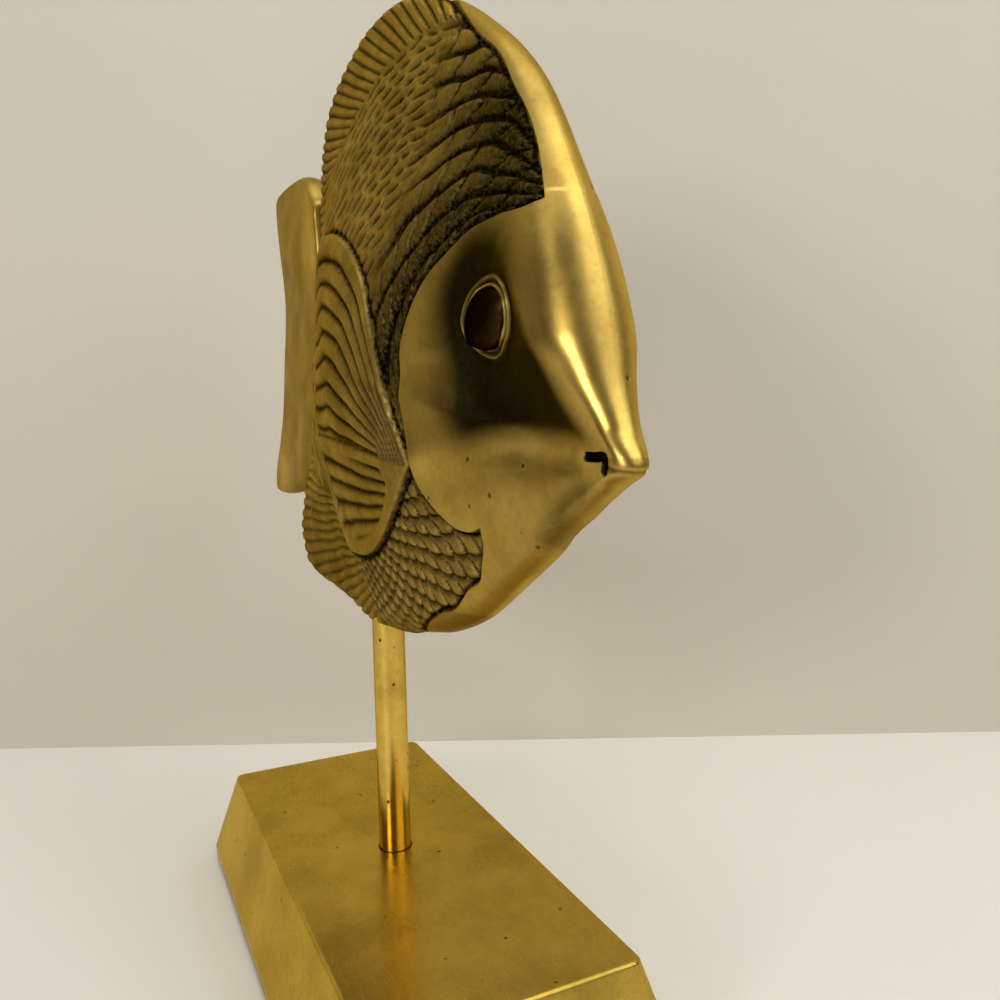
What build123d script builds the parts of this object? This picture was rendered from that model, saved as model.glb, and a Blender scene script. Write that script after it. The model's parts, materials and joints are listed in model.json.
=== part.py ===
# Brass fish figurine: a hollow cast fish in two halves on a rod, bolted to a hollow tapered base.
# The head looks along +X, Z is up, and the origin is on the rod's axis at the table.
from build123d import *
import math
import os

# Base: a tapered block, open underneath, with felt glued to its rim
base_top_length = 132.0
base_top_width = 58.0
base_slope_run = 6.5
base_height = 27.3
base_lead = 2.0
base_wall = 3.5
band_height = 2.8
felt_thickness = 1.5
base_corner_radius = 2.2
least_corner_share = 0.25
base_edge_radius = 0.9

# Rod: plain round bar with a turned-down threaded end above and below
rod_diameter = 8.0
rod_showing = 59.2
spigot_diameter = 6.0
upper_spigot_length = 12.0
thread_clearance = 0.15
socket_clearance = 0.35
deck_socket_depth = 1.2
belly_socket_depth = 3.4

# Fastening under the deck
boss_diameter = 20.0
boss_drop = 3.0
washer_diameter = 14.0
washer_thickness = 1.4
lock_washer_diameter = 10.6
lock_washer_thickness = 1.5
lock_washer_split = 1.0
nut_across_flats = 10.0
nut_height = 5.0
thread_past_nut = 2.0

# Fish: a disc-shaped body, drawn as rays from the crown of its flank
body_radius = 75.0
flank_depth = 16.0
crown_ahead = 10.0
shell_wall = 3.0
boss_half_width = 8.0
boss_rise = 22.0
keel_sink = 0.3

# Tail: a broad flat fan behind the body
tail_root_depth = 3.4
tail_edge_depth = 1.9

# Eye: a domed inlay in a round socket with a raised rim
eye_diameter = 11.6
eye_seat_depth = 2.0
eye_dome_rise = 0.9
eye_rim_width = 1.1
eye_rim_rise = 0.5
eye_clearance = 0.1
eye_turn = 14.0
eye_ray_angle = 0

# Mouth
mouth_slot_height = 1.3
mouth_slot_depth = 1.4

# Relief: the scaled field lies a little lower than the polished face, its main ridges left standing
field_recess = 0.6
seam_land = 1.0
row_pitch = 13.0
row_ridge_width = 4.6
ray_ridge_width = 5.0
fin_rise = 0.5
fan_ridge_width = 2.4
cheek_hollow_width = 13.0
cheek_hollow_depth = 1.2
cheek_turn = 17.0
cheek_ray_angle = -8

overrun = 1.0

# Reach of the body straight below its crown, where the rod comes in
belly_reach_share = 0.841

# Each ray: angle from +X, reach as a share of body_radius, then half thickness as shares of flank_depth
# at the rim and at 0.90, 0.75, 0.55 and 0.30 of the reach
ray_shares = [
    (-11, 1.337, 0.16, 0.24, 0.37, 0.75, 0.98),
    (-8, 1.290, 0.21, 0.28, 0.39, 0.75, 0.98),
    (-4, 1.243, 0.30, 0.36, 0.48, 0.78, 0.98),
    (0, 1.217, 0.37, 0.46, 0.60, 0.82, 0.98),
    (9, 1.173, 0.32, 0.45, 0.63, 0.84, 0.98),
    (19, 1.123, 0.26, 0.36, 0.56, 0.81, 0.97),
    (30, 1.090, 0.22, 0.30, 0.48, 0.75, 0.95),
    (47, 1.025, 0.19, 0.25, 0.40, 0.69, 0.94),
    (65, 1.000, 0.16, 0.22, 0.36, 0.63, 0.91),
    (85, 1.003, 0.16, 0.21, 0.35, 0.61, 0.90),
    (104, 1.020, 0.16, 0.21, 0.35, 0.60, 0.89),
    (120, 1.045, 0.16, 0.20, 0.33, 0.57, 0.88),
    (131, 0.990, 0.16, 0.20, 0.31, 0.56, 0.86),
    (146, 0.860, 0.16, 0.20, 0.31, 0.56, 0.85),
    (160, 0.900, 0.16, 0.21, 0.33, 0.58, 0.85),
    (178, 0.965, 0.16, 0.21, 0.34, 0.59, 0.85),
    (193, 1.080, 0.16, 0.20, 0.31, 0.54, 0.84),
    (204, 1.235, 0.16, 0.19, 0.29, 0.50, 0.83),
    (210, 1.385, 0.16, 0.19, 0.28, 0.47, 0.82),
    (215, 1.375, 0.16, 0.19, 0.28, 0.47, 0.82),
    (221, 1.260, 0.16, 0.19, 0.28, 0.48, 0.83),
    (230, 1.090, 0.16, 0.19, 0.29, 0.52, 0.85),
    (242, 0.960, 0.18, 0.23, 0.35, 0.58, 0.88),
    (256, 0.893, 0.24, 0.34, 0.46, 0.66, 0.91),
    (272, belly_reach_share, 0.29, 0.42, 0.53, 0.74, 0.95),
    (288, 0.836, 0.27, 0.40, 0.56, 0.79, 0.97),
    (302, 0.877, 0.24, 0.38, 0.58, 0.81, 0.98),
    (314, 0.932, 0.23, 0.37, 0.59, 0.82, 0.98),
    (326, 1.000, 0.22, 0.36, 0.58, 0.82, 0.98),
    (337, 1.108, 0.20, 0.32, 0.53, 0.79, 0.98),
    (343, 1.204, 0.18, 0.29, 0.46, 0.77, 0.98),
    (347, 1.290, 0.17, 0.26, 0.40, 0.76, 0.98),
]
reach_shares = (0.90, 0.75, 0.55, 0.30)
crown_share = 0.12
cavity_reach_share = 0.84
ring_runs = 8
rim_rolls = (0, 35, 65, 90)

# Tail outline, behind and above the crown, as shares of body_radius
tail_shares = [
    (-0.72, 0.62), (-0.86, 0.74), (-1.05, 0.775), (-1.28, 0.780), (-1.375, 0.775), (-1.395, 0.735),
    (-1.375, 0.56), (-1.345, 0.36), (-1.345, 0.14), (-1.39, -0.02), (-1.48, -0.16), (-1.60, -0.30),
    (-1.71, -0.43), (-1.735, -0.51), (-1.69, -0.54), (-1.45, -0.53), (-1.20, -0.49), (-0.95, -0.40),
]

# Scaled field, as shares of body_radius from the crown: down the forehead, round the gill cover,
# under the jaw and back along the chest
forehead_shares = [
    (0.16, 1.05), (0.45, 0.90), (0.60, 0.81), (0.747, 0.69), (0.853, 0.609), (0.933, 0.516), (0.987, 0.449),
    (1.053, 0.329), (1.087, 0.256),
]
gill_shares = [
    (1.087, 0.256), (0.947, 0.249), (0.853, 0.236), (0.773, 0.196), (0.64, 0.089), (0.573, -0.071),
    (0.56, -0.277),
]
throat_shares = [(0.56, -0.277), (0.583, -0.331), (0.683, -0.412), (0.813, -0.411)]
chest_shares = [
    (0.813, -0.411), (0.78, -0.497), (0.684, -0.585), (0.50, -0.681), (0.365, -0.747), (0.10, -0.90),
]
far_corner_shares = [(0.10, -0.90), (-2.0, -0.90), (-2.0, 1.05), (0.16, 1.05)]

# Lines that part the rows of scales from the rays of the back fin above and the belly fin below
back_line_shares = [
    (0.75, 0.74), (0.53, 0.79), (0.147, 0.807), (-0.067, 0.737), (-0.40, 0.596), (-1.30, 0.11),
]
back_corner_shares = [(-1.30, 0.11), (-1.30, 1.20), (0.75, 1.20), (0.75, 0.74)]
belly_line_shares = [
    (0.15, -0.92), (0.0, -0.764), (-0.107, -0.577), (-0.24, -0.497), (-0.72, -0.377), (-1.40, -0.12),
]
belly_corner_shares = [(-1.40, -0.12), (-1.40, -1.20), (0.15, -1.20), (0.15, -0.92)]
row_centre_shares = (-0.293, 0.009)
back_source_shares = (0.84, 0.463)
back_ray_angles = (120, 133, 145, 155, 164)
belly_source_shares = (0.80, -0.417)
belly_ray_angles = (210, 198, 187)

# Pectoral fin: a long upper lobe, from its rear to its root, and a fan below with a raised border
lobe_top_shares = [
    (-0.24, 0.29), (-0.07, 0.38), (0.23, 0.27), (0.38, 0.11), (0.48, -0.10), (0.556, -0.281),
]
lobe_low_shares = [
    (-0.24, -0.23), (-0.06, -0.235), (0.16, -0.245), (0.28, -0.26), (0.39, -0.27), (0.556, -0.281),
]
lobe_ridge_shares = [(0.05, 0.17), (0.35, 0.47), (0.65, 0.77)]
fan_edge_shares = [
    (0.556, -0.281), (0.42, -0.407), (0.31, -0.48), (0.20, -0.537), (-0.03, -0.596), (-0.19, -0.599),
    (-0.28, -0.564),
]
fan_inner_shares = [
    (-0.25, -0.524), (-0.13, -0.551), (0.04, -0.543), (0.195, -0.503), (0.31, -0.448), (0.41, -0.33),
]
fin_rear_shares = [(-0.28, -0.564), (-0.31, -0.48), (-0.24, -0.23), (-0.21, 0.05), (-0.24, 0.29)]
fan_source_shares = (0.867, -0.371)
fan_ridge_angles = (176, 186)
cheek_shares = (0.93, -0.14)
edge_land_share = 0.935
eye_shares = (0.907, 0.040)
mouth_shares = (1.135, 1.262, -0.252)

# Heights that follow from the sizes above
deck_top = base_height
belly_bottom = deck_top + rod_showing
crown_height = belly_bottom - keel_sink + body_radius * belly_reach_share
seat_height = belly_bottom + belly_socket_depth
spigot_hole = spigot_diameter + 2 * thread_clearance


def along(share):
    return crown_ahead + share * body_radius


def height(share):
    return crown_height + share * body_radius


def ray_point(angle, reach, depth):
    turn = math.radians(angle)
    return Vector(crown_ahead + reach * math.cos(turn), depth, crown_height + reach * math.sin(turn))


def closed_ring(points):
    # a ring in several curves, each leaving its ends in the direction of the points either side
    count = len(points)
    step = count // ring_runs
    edges = []
    for first in range(0, count, step):
        run = [points[index % count] for index in range(first, first + step + 1)]
        leave = points[(first + 1) % count] - points[first - 1]
        arrive = points[(first + step + 1) % count] - points[(first + step - 1) % count]
        edges.append(Edge.make_spline(run, tangents=[leave, arrive]))
    return Wire(edges)


def rim_ring(roll, extra):
    # roll runs from 0 at the seam to 90 degrees where the rim turns into the flank
    points = []
    for angle, reach_share, rim_share, *_ in ray_shares:
        rim = rim_share * flank_depth
        inset = rim * (1 - math.cos(math.radians(roll)))
        depth = -rim * math.sin(math.radians(roll)) - extra * math.sin(math.radians(roll))
        points.append(ray_point(angle, reach_share * body_radius - inset, depth))
    return closed_ring(points)


def flank_ring(column, extra):
    points = []
    for angle, reach_share, _, *depth_shares in ray_shares:
        reach = reach_share * body_radius * reach_shares[column]
        points.append(ray_point(angle, reach, -depth_shares[column] * flank_depth - extra))
    return closed_ring(points)


def crown_ring(depth):
    points = []
    for angle, reach_share, *_ in ray_shares:
        points.append(ray_point(angle, reach_share * body_radius * crown_share, depth))
    return closed_ring(points)


def flank_solid(extra):
    # half of the body, filled: its flat side is the seam, and extra stands it off all over
    rings = [rim_ring(roll, extra) for roll in rim_rolls]
    rings += [flank_ring(column, extra) for column in range(len(reach_shares))]
    rings.append(crown_ring(-flank_depth - extra))
    return Solid.make_loft(rings, ruled=True)


def cavity_solid():
    points = []
    for angle, reach_share, *_ in ray_shares:
        points.append(ray_point(angle, reach_share * body_radius * cavity_reach_share, 0))
    rings = [closed_ring(points)]
    for column in range(1, len(reach_shares)):
        points = []
        for angle, reach_share, _, *depth_shares in ray_shares:
            reach = reach_share * body_radius * reach_shares[column]
            points.append(ray_point(angle, reach, shell_wall - depth_shares[column] * flank_depth))
        rings.append(closed_ring(points))
    rings.append(crown_ring(shell_wall - flank_depth))
    return Solid.make_loft(rings, ruled=True)


def outline_prism(shares, depth):
    # a flat outline seen from the side, given thickness on the right-hand side of the seam
    points = [Vector(along(x), 0, height(z)) for x, z in shares]
    outline = Wire([Edge.make_spline(points, periodic=True)])
    return extrude(Face(outline), amount=depth, dir=(0, -1, 0))


def side_point(share):
    return Vector(along(share[0]), 0, height(share[1]))


def curve(shares):
    return Edge.make_spline([side_point(share) for share in shares])


def side_plane(share):
    # a plane on the seam, looking out of the right flank
    return Plane(origin=side_point(share), x_dir=(1, 0, 0), z_dir=(0, -1, 0))


def prism(edges):
    # an outline on the side view carried out through the flank, leaving a land along the seam
    face = Face(Wire(edges))
    return Pos(0, -seam_land, 0) * extrude(face, amount=2 * flank_depth, dir=(0, -1, 0))


def corners(shares):
    return Polyline(*[side_point(share) for share in shares]).edges()


def ray_ridge(source, angle, width):
    # a straight ridge from a source point out past the rim
    strip = Box(2 * body_radius, width, 2 * flank_depth, align=(Align.MIN, Align.CENTER, Align.MIN))
    return side_plane(source) * Rot(0, 0, angle) * Pos(0, 0, seam_land) * strip


def row_ridge(radius):
    ring = Circle(radius + row_ridge_width / 2) - Circle(radius - row_ridge_width / 2)
    return side_plane(row_centre_shares) * Pos(0, 0, seam_land) * extrude(ring, amount=2 * flank_depth)


def between(share):
    # a line along the upper lobe, part of the way from its top edge to its low edge, short of the root
    pairs = list(zip(lobe_top_shares, lobe_low_shares))[:-1]
    return [(top[0] + (low[0] - top[0]) * share, top[1] + (low[1] - top[1]) * share) for top, low in pairs]


def lobe_ridge(top_share, low_share):
    top = between(top_share)
    low = between(low_share)[::-1]
    return prism([curve(top), *corners([top[-1], low[0]]), curve(low), *corners([low[-1], top[0]])])


def fin_prism():
    return prism([curve(lobe_top_shares), curve(fan_edge_shares), curve(fin_rear_shares)])


def fin_ridges():
    # the fan's raised border, two of its rays, and the upper lobe's main ridges
    ridges = prism([
        curve(fan_edge_shares), *corners([fan_edge_shares[-1], fan_inner_shares[0]]), curve(fan_inner_shares),
        *corners([fan_inner_shares[-1], fan_edge_shares[0]])])
    fan = prism([
        curve(fan_edge_shares), *corners([fan_edge_shares[-1], lobe_low_shares[0]]), curve(lobe_low_shares)])
    for angle in fan_ridge_angles:
        ridges += ray_ridge(fan_source_shares, angle, fan_ridge_width) & fan
    for top_share, low_share in lobe_ridge_shares:
        ridges += lobe_ridge(top_share, low_share)
    return ridges & flank_solid(fin_rise)


def field_prism():
    # the scaled field inside a plain land that runs along the rim
    outline = prism([
        curve(forehead_shares), curve(gill_shares), curve(throat_shares), curve(chest_shares),
        *corners(far_corner_shares)])
    rim = []
    for angle, reach_share, *_ in ray_shares:
        rim.append(ray_point(angle, reach_share * body_radius * edge_land_share, 0))
    return outline & prism(closed_ring(rim).edges())


def field_cut():
    # what is taken off the flank between the face's edge, the fin and the main ridges
    field = field_prism()
    back = prism([curve(back_line_shares), *corners(back_corner_shares)])
    belly = prism([curve(belly_line_shares), *corners(belly_corner_shares)])
    rows = field - back - belly - fin_prism()
    for number in range(1, round(2 * body_radius / row_pitch)):
        rows -= row_ridge(number * row_pitch)
    rays = field & back
    for angle in back_ray_angles:
        rays -= ray_ridge(back_source_shares, angle, ray_ridge_width)
    low_rays = (field & belly) - fin_prism()
    for angle in belly_ray_angles:
        low_rays -= ray_ridge(belly_source_shares, angle, ray_ridge_width)
    floor = flank_solid(-field_recess)
    return [rows - floor, rays - floor, low_rays - floor]


def cheek_hollow():
    # a shallow round dip under the eye
    half = cheek_hollow_width / 2
    radius = (half ** 2 + cheek_hollow_depth ** 2) / (2 * cheek_hollow_depth)
    lift = radius - cheek_hollow_depth
    return face_plane(cheek_shares, cheek_surface_depth, cheek_turn, lift) * Sphere(radius)


def tail_half():
    fan = outline_prism(tail_shares, tail_root_depth)
    tip = along(min(x for x, z in tail_shares)) - overrun
    root = along(max(x for x, z in tail_shares))
    bottom = height(min(z for x, z in tail_shares)) - overrun
    top = height(max(z for x, z in tail_shares)) + overrun
    plan = [(tip, 0), (root, 0), (root, -tail_root_depth), (tip, -tail_edge_depth)]
    wedge = Plane.XY.offset(bottom) * extrude(make_face(Polyline(*plan, close=True)), amount=top - bottom)
    return fan & wedge


def surface_depth(place, angle, column):
    # depth of the flank on one ray, between the ring at this column and the next one in
    _, reach_share, _, *depth_shares = [ray for ray in ray_shares if ray[0] == angle][0]
    reach = math.hypot(*place) / reach_share
    blend = (reach - reach_shares[column + 1]) / (reach_shares[column] - reach_shares[column + 1])
    outer = depth_shares[column]
    inner = depth_shares[column + 1]
    return (inner + (outer - inner) * blend) * flank_depth


def face_plane(place, depth, turn_angle, lift):
    # a plane square to the flank at a place on the face, its Z pointing out of the fish
    turn = math.radians(turn_angle)
    outward = Vector(math.sin(turn), -math.cos(turn), 0)
    centre = Vector(along(place[0]), -depth, height(place[1]))
    return Plane(origin=centre + outward * lift, z_dir=outward)


eye_surface_depth = surface_depth(eye_shares, eye_ray_angle, 0)
cheek_surface_depth = surface_depth(cheek_shares, cheek_ray_angle, 1)


def eye_plane(lift):
    return face_plane(eye_shares, eye_surface_depth, eye_turn, lift)


def eye_socket():
    radius = eye_diameter / 2 + eye_clearance
    return eye_plane(-eye_seat_depth) * extrude(Circle(radius), amount=eye_seat_depth + flank_depth)


def eye_rim():
    radius = eye_diameter / 2 + eye_clearance + eye_rim_width
    return eye_plane(-eye_seat_depth) * extrude(Circle(radius), amount=eye_seat_depth + eye_rim_rise)


def eye_inlay():
    radius = eye_diameter / 2
    dome_radius = (radius ** 2 + eye_dome_rise ** 2) / (2 * eye_dome_rise)
    disc = eye_plane(-eye_seat_depth) * extrude(Circle(radius), amount=eye_seat_depth + eye_dome_rise)
    ball = eye_plane(eye_dome_rise - dome_radius) * Sphere(dome_radius)
    return disc & ball


def mouth_slot():
    length = (mouth_shares[1] - mouth_shares[0]) * body_radius
    middle = along((mouth_shares[0] + mouth_shares[1]) / 2)
    mouth_ray_shares = [ray for ray in ray_shares if ray[0] == -11][0]
    skin = mouth_ray_shares[2] * flank_depth
    slot = Box(length, flank_depth, mouth_slot_height)
    return Pos(middle, mouth_slot_depth - skin - flank_depth / 2, height(mouth_shares[2])) * slot


def rod_socket():
    length = upper_spigot_length + thread_clearance
    radius = rod_diameter / 2 + socket_clearance
    hole = Cylinder(spigot_hole / 2, length, align=(Align.CENTER, Align.CENTER, Align.MIN))
    seat = Cylinder(radius, flank_depth, align=(Align.CENTER, Align.CENTER, Align.MAX))
    return Pos(0, 0, seat_height) * (hole + seat)


def hollow_solid():
    # the cavity, less the metal left solid round the rod's thread
    rise = seat_height + boss_rise - height(-1)
    block = Box(2 * boss_half_width, 2 * flank_depth, rise, align=(Align.CENTER, Align.CENTER, Align.MIN))
    return cavity_solid() - Pos(0, 0, height(-1)) * block


def body_half():
    flank = flank_solid(0)
    for cut in field_cut():
        flank -= cut
    body = flank + fin_ridges() + tail_half() + eye_rim()
    body = body - hollow_solid() - eye_socket() - cheek_hollow()
    return body - rod_socket() - mouth_slot()


def stem_rod():
    bottom = deck_top - deck_socket_depth
    bar = Cylinder(rod_diameter / 2, seat_height - bottom, align=(Align.CENTER, Align.CENTER, Align.MIN))
    upper = Cylinder(spigot_diameter / 2, upper_spigot_length, align=(Align.CENTER, Align.CENTER, Align.MIN))
    lower = Cylinder(spigot_diameter / 2, bottom - rod_foot, align=(Align.CENTER, Align.CENTER, Align.MIN))
    return Pos(0, 0, bottom) * bar + Pos(0, 0, seat_height) * upper + Pos(0, 0, rod_foot) * lower


# Stack under the deck, from the boss down to the rod's end
boss_face = deck_top - base_wall - boss_drop
washer_bottom = boss_face - washer_thickness
lock_bottom = washer_bottom - lock_washer_thickness
nut_bottom = lock_bottom - nut_height
rod_foot = nut_bottom - thread_past_nut


def tapered_block(inset, bottom, top):
    # the base's outer shape drawn in by inset all round, from one height to another
    full_rise = base_height - felt_thickness - band_height
    corner = max(base_corner_radius - inset, base_corner_radius * least_corner_share)
    sections = []
    for level in (bottom, top):
        spread = base_slope_run * (base_height - level) / full_rise
        outline = RectangleRounded(
            base_top_length + 2 * (spread - inset), base_top_width + 2 * (spread - inset), corner)
        sections.append(Plane.XY.offset(level) * Pos(base_lead, 0) * outline)
    return loft(sections)


def base_casting():
    band_top = felt_thickness + band_height
    length = base_top_length + 2 * base_slope_run
    width = base_top_width + 2 * base_slope_run
    band_outline = RectangleRounded(length, width, base_corner_radius)
    band = Plane.XY.offset(felt_thickness) * Pos(base_lead, 0) * extrude(band_outline, amount=band_height)
    block = tapered_block(0, band_top, deck_top)
    block = fillet(block.edges().filter_by(Plane.XY).group_by(Axis.Z)[-1], base_edge_radius)
    hollow = tapered_block(base_wall, felt_thickness - overrun, deck_top - base_wall)
    boss = Cylinder(boss_diameter / 2, boss_drop + overrun, align=(Align.CENTER, Align.CENTER, Align.MIN))
    body = band + block - hollow + Pos(0, 0, boss_face) * boss
    hole = Cylinder(spigot_hole / 2, base_height)
    radius = rod_diameter / 2 + socket_clearance
    socket = Cylinder(radius, base_height, align=(Align.CENTER, Align.CENTER, Align.MIN))
    return body - Pos(0, 0, base_height / 2) * hole - Pos(0, 0, deck_top - deck_socket_depth) * socket


def washer(outer_diameter, thickness, bottom):
    disc = extrude(Circle(outer_diameter / 2) - Circle(spigot_hole / 2), amount=thickness)
    return Pos(0, 0, bottom) * disc


def lock_washer():
    ring = washer(lock_washer_diameter, lock_washer_thickness, lock_bottom)
    split = Box(lock_washer_diameter, lock_washer_split, 2 * lock_washer_thickness,
                align=(Align.MIN, Align.CENTER, Align.CENTER))
    return ring - Pos(0, 0, lock_bottom + lock_washer_thickness / 2) * split


def base_nut():
    hexagon = RegularPolygon(nut_across_flats / 2, 6, major_radius=False) - Circle(spigot_hole / 2)
    return Pos(0, 0, nut_bottom) * extrude(hexagon, amount=nut_height)


def felt_sheet():
    length = base_top_length + 2 * base_slope_run - 2 * base_edge_radius
    width = base_top_width + 2 * base_slope_run - 2 * base_edge_radius
    outline = RectangleRounded(length, width, base_corner_radius)
    return Pos(base_lead, 0) * extrude(outline, amount=felt_thickness)


os.makedirs("parts", exist_ok=True)
right_shell = body_half()
right_eye = eye_inlay()
parts = {
    "body_right_shell": right_shell,
    "body_left_shell": mirror(right_shell, about=Plane.XZ),
    "right_eye": right_eye,
    "left_eye": mirror(right_eye, about=Plane.XZ),
    "stem_rod": stem_rod(),
    "base_casting": base_casting(),
    "base_washer": washer(washer_diameter, washer_thickness, washer_bottom),
    "lock_washer": lock_washer(),
    "base_nut": base_nut(),
    "felt_sheet": felt_sheet(),
}
for name, shape in parts.items():
    export_step(shape, f"parts/{name}.step")
    print(name, "solids", len(shape.solids()), "volume", round(shape.volume))
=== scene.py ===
import json
import math
import bmesh
import bpy
import numpy as np
from mathutils import Matrix, Vector

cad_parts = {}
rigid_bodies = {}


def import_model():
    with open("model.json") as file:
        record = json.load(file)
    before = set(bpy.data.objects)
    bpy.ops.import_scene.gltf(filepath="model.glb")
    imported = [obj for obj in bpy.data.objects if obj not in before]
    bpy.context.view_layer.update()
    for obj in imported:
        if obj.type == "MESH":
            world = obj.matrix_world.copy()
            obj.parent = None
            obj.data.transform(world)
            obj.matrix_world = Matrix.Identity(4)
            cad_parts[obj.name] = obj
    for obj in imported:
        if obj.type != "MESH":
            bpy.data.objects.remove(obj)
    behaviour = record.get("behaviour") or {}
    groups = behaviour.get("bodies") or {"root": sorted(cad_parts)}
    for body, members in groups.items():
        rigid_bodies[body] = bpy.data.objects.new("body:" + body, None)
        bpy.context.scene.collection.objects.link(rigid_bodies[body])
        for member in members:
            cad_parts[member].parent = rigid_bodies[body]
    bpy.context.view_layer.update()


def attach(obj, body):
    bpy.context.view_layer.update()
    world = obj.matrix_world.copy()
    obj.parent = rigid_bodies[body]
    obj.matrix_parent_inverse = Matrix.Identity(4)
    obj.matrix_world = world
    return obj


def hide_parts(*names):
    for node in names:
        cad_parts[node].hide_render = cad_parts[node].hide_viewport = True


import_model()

mm = 0.001


def hexColour(code):
    channels = [int(code[i:i + 2], 16) / 255 for i in (1, 3, 5)]
    linear = [c / 12.92 if c <= 0.04045 else ((c + 0.055) / 1.055) ** 2.4 for c in channels]
    return (*linear, 1.0)


# Curves and distances on the fish's side view, in mm

def curveThrough(at, xs, ys):
    # monotone between its points, so it never swings past them
    step = np.diff(xs)
    rise = np.diff(ys) / step
    slopes = np.zeros(len(ys))
    blend = (step[:-1] * rise[:-1] + step[1:] * rise[1:]) / (step[:-1] + step[1:])
    limit = 3 * np.minimum(abs(rise[:-1]), abs(rise[1:]))
    slopes[1:-1] = np.where(rise[:-1] * rise[1:] > 0, np.sign(blend) * np.minimum(abs(blend), limit), 0)
    i = np.clip(np.searchsorted(xs, at) - 1, 0, len(xs) - 2)
    u = np.clip((at - xs[i]) / step[i], 0, 1)
    start = (1 + 2 * u) * (1 - u) ** 2 * ys[i] + u * (1 - u) ** 2 * step[i] * slopes[i]
    return start + u * u * (3 - 2 * u) * ys[i + 1] + u * u * (u - 1) * step[i] * slopes[i + 1]


def roundTheRays(turn, angles, values):
    xs = np.concatenate([angles[-3:] - 360, angles, angles[:3] + 360])
    ys = np.concatenate([values[-3:], values, values[:3]])
    return curveThrough((turn - angles[0]) % 360 + angles[0], xs, ys)


def flowing(points, count=6):
    # a smooth line through given points, as short straight steps
    p = np.array(points, float)
    p = np.vstack([2 * p[0] - p[1], p, 2 * p[-1] - p[-2]])
    u = np.linspace(0, 1, count, endpoint=False)[:, None]
    parts = []
    for a, b, c, d in zip(p[:-3], p[1:-2], p[2:-1], p[3:]):
        bend = (2 * a - 5 * b + 4 * c - d) * u ** 2 + (3 * b - a - 3 * c + d) * u ** 3
        parts.append(0.5 * (2 * b + (c - a) * u + bend))
    return np.vstack(parts + [p[-2][None]])


def distanceTo(line, x, z, reach=12.0):
    # distance to a line and the place along it from 0 to 1, for points within reach of its box
    far = np.full(x.shape, reach * 2.0)
    place = np.zeros(x.shape)
    low = line.min(0) - reach
    high = line.max(0) + reach
    near = np.flatnonzero((x > low[0]) & (x < high[0]) & (z > low[1]) & (z < high[1]))
    px = x[near]
    pz = z[near]
    best = np.full(len(near), reach * 2.0)
    spot = np.zeros(len(near))
    runs = np.linalg.norm(np.diff(line, axis=0), axis=1)
    done = np.concatenate([[0], np.cumsum(runs)])
    for k in np.flatnonzero(runs > 0):
        a = line[k]
        d = line[k + 1] - a
        u = np.clip(((px - a[0]) * d[0] + (pz - a[1]) * d[1]) / (d @ d), 0, 1)
        gap = np.hypot(px - a[0] - u * d[0], pz - a[1] - u * d[1])
        nearer = gap < best
        best = np.where(nearer, gap, best)
        spot = np.where(nearer, done[k] + u * runs[k], spot)
    far[near] = best
    place[near] = spot / done[-1]
    return far, place


def insideOf(line, x, z):
    inside = np.zeros(x.shape, bool)
    for a, b in zip(line, np.roll(line, -1, axis=0)):
        if a[1] == b[1]:
            continue
        crosses = (a[1] > z) != (b[1] > z)
        inside ^= crosses & (x < a[0] + (z - a[1]) * (b[0] - a[0]) / (b[1] - a[1]))
    return inside


def depthInside(line, x, z, reach=12.0):
    # distance from the edge of an outline, positive inside it
    closed = np.vstack([line, line[:1]])
    gap, _ = distanceTo(closed, x, z, reach)
    return np.where(insideOf(line, x, z), gap, -gap)


def stepUp(value, low, high):
    u = np.clip((value - low) / (high - low), 0, 1)
    return u * u * (3 - 2 * u)


def hump(value, width):
    return np.exp(-(value / width) ** 2)


def waver(x, z, amount, size, seed):
    # slow unevenness of handwork, up to the amount either way and about size mm across
    table = np.random.RandomState(seed).uniform(-1, 1, (64, 64))
    u = x / size + 32
    v = z / size
    i = np.floor(u).astype(int)
    j = np.floor(v).astype(int)
    fu = stepUp(u - i, 0, 1)
    fv = stepUp(v - j, 0, 1)
    low = table[i % 64, j % 64] * (1 - fu) + table[(i + 1) % 64, j % 64] * fu
    high = table[i % 64, (j + 1) % 64] * (1 - fu) + table[(i + 1) % 64, (j + 1) % 64] * fu
    return amount * (low * (1 - fv) + high * fv)


print("stage: helpers ready")

# Body: rays from the crown of the flank, with the half thickness at five places along each

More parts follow.
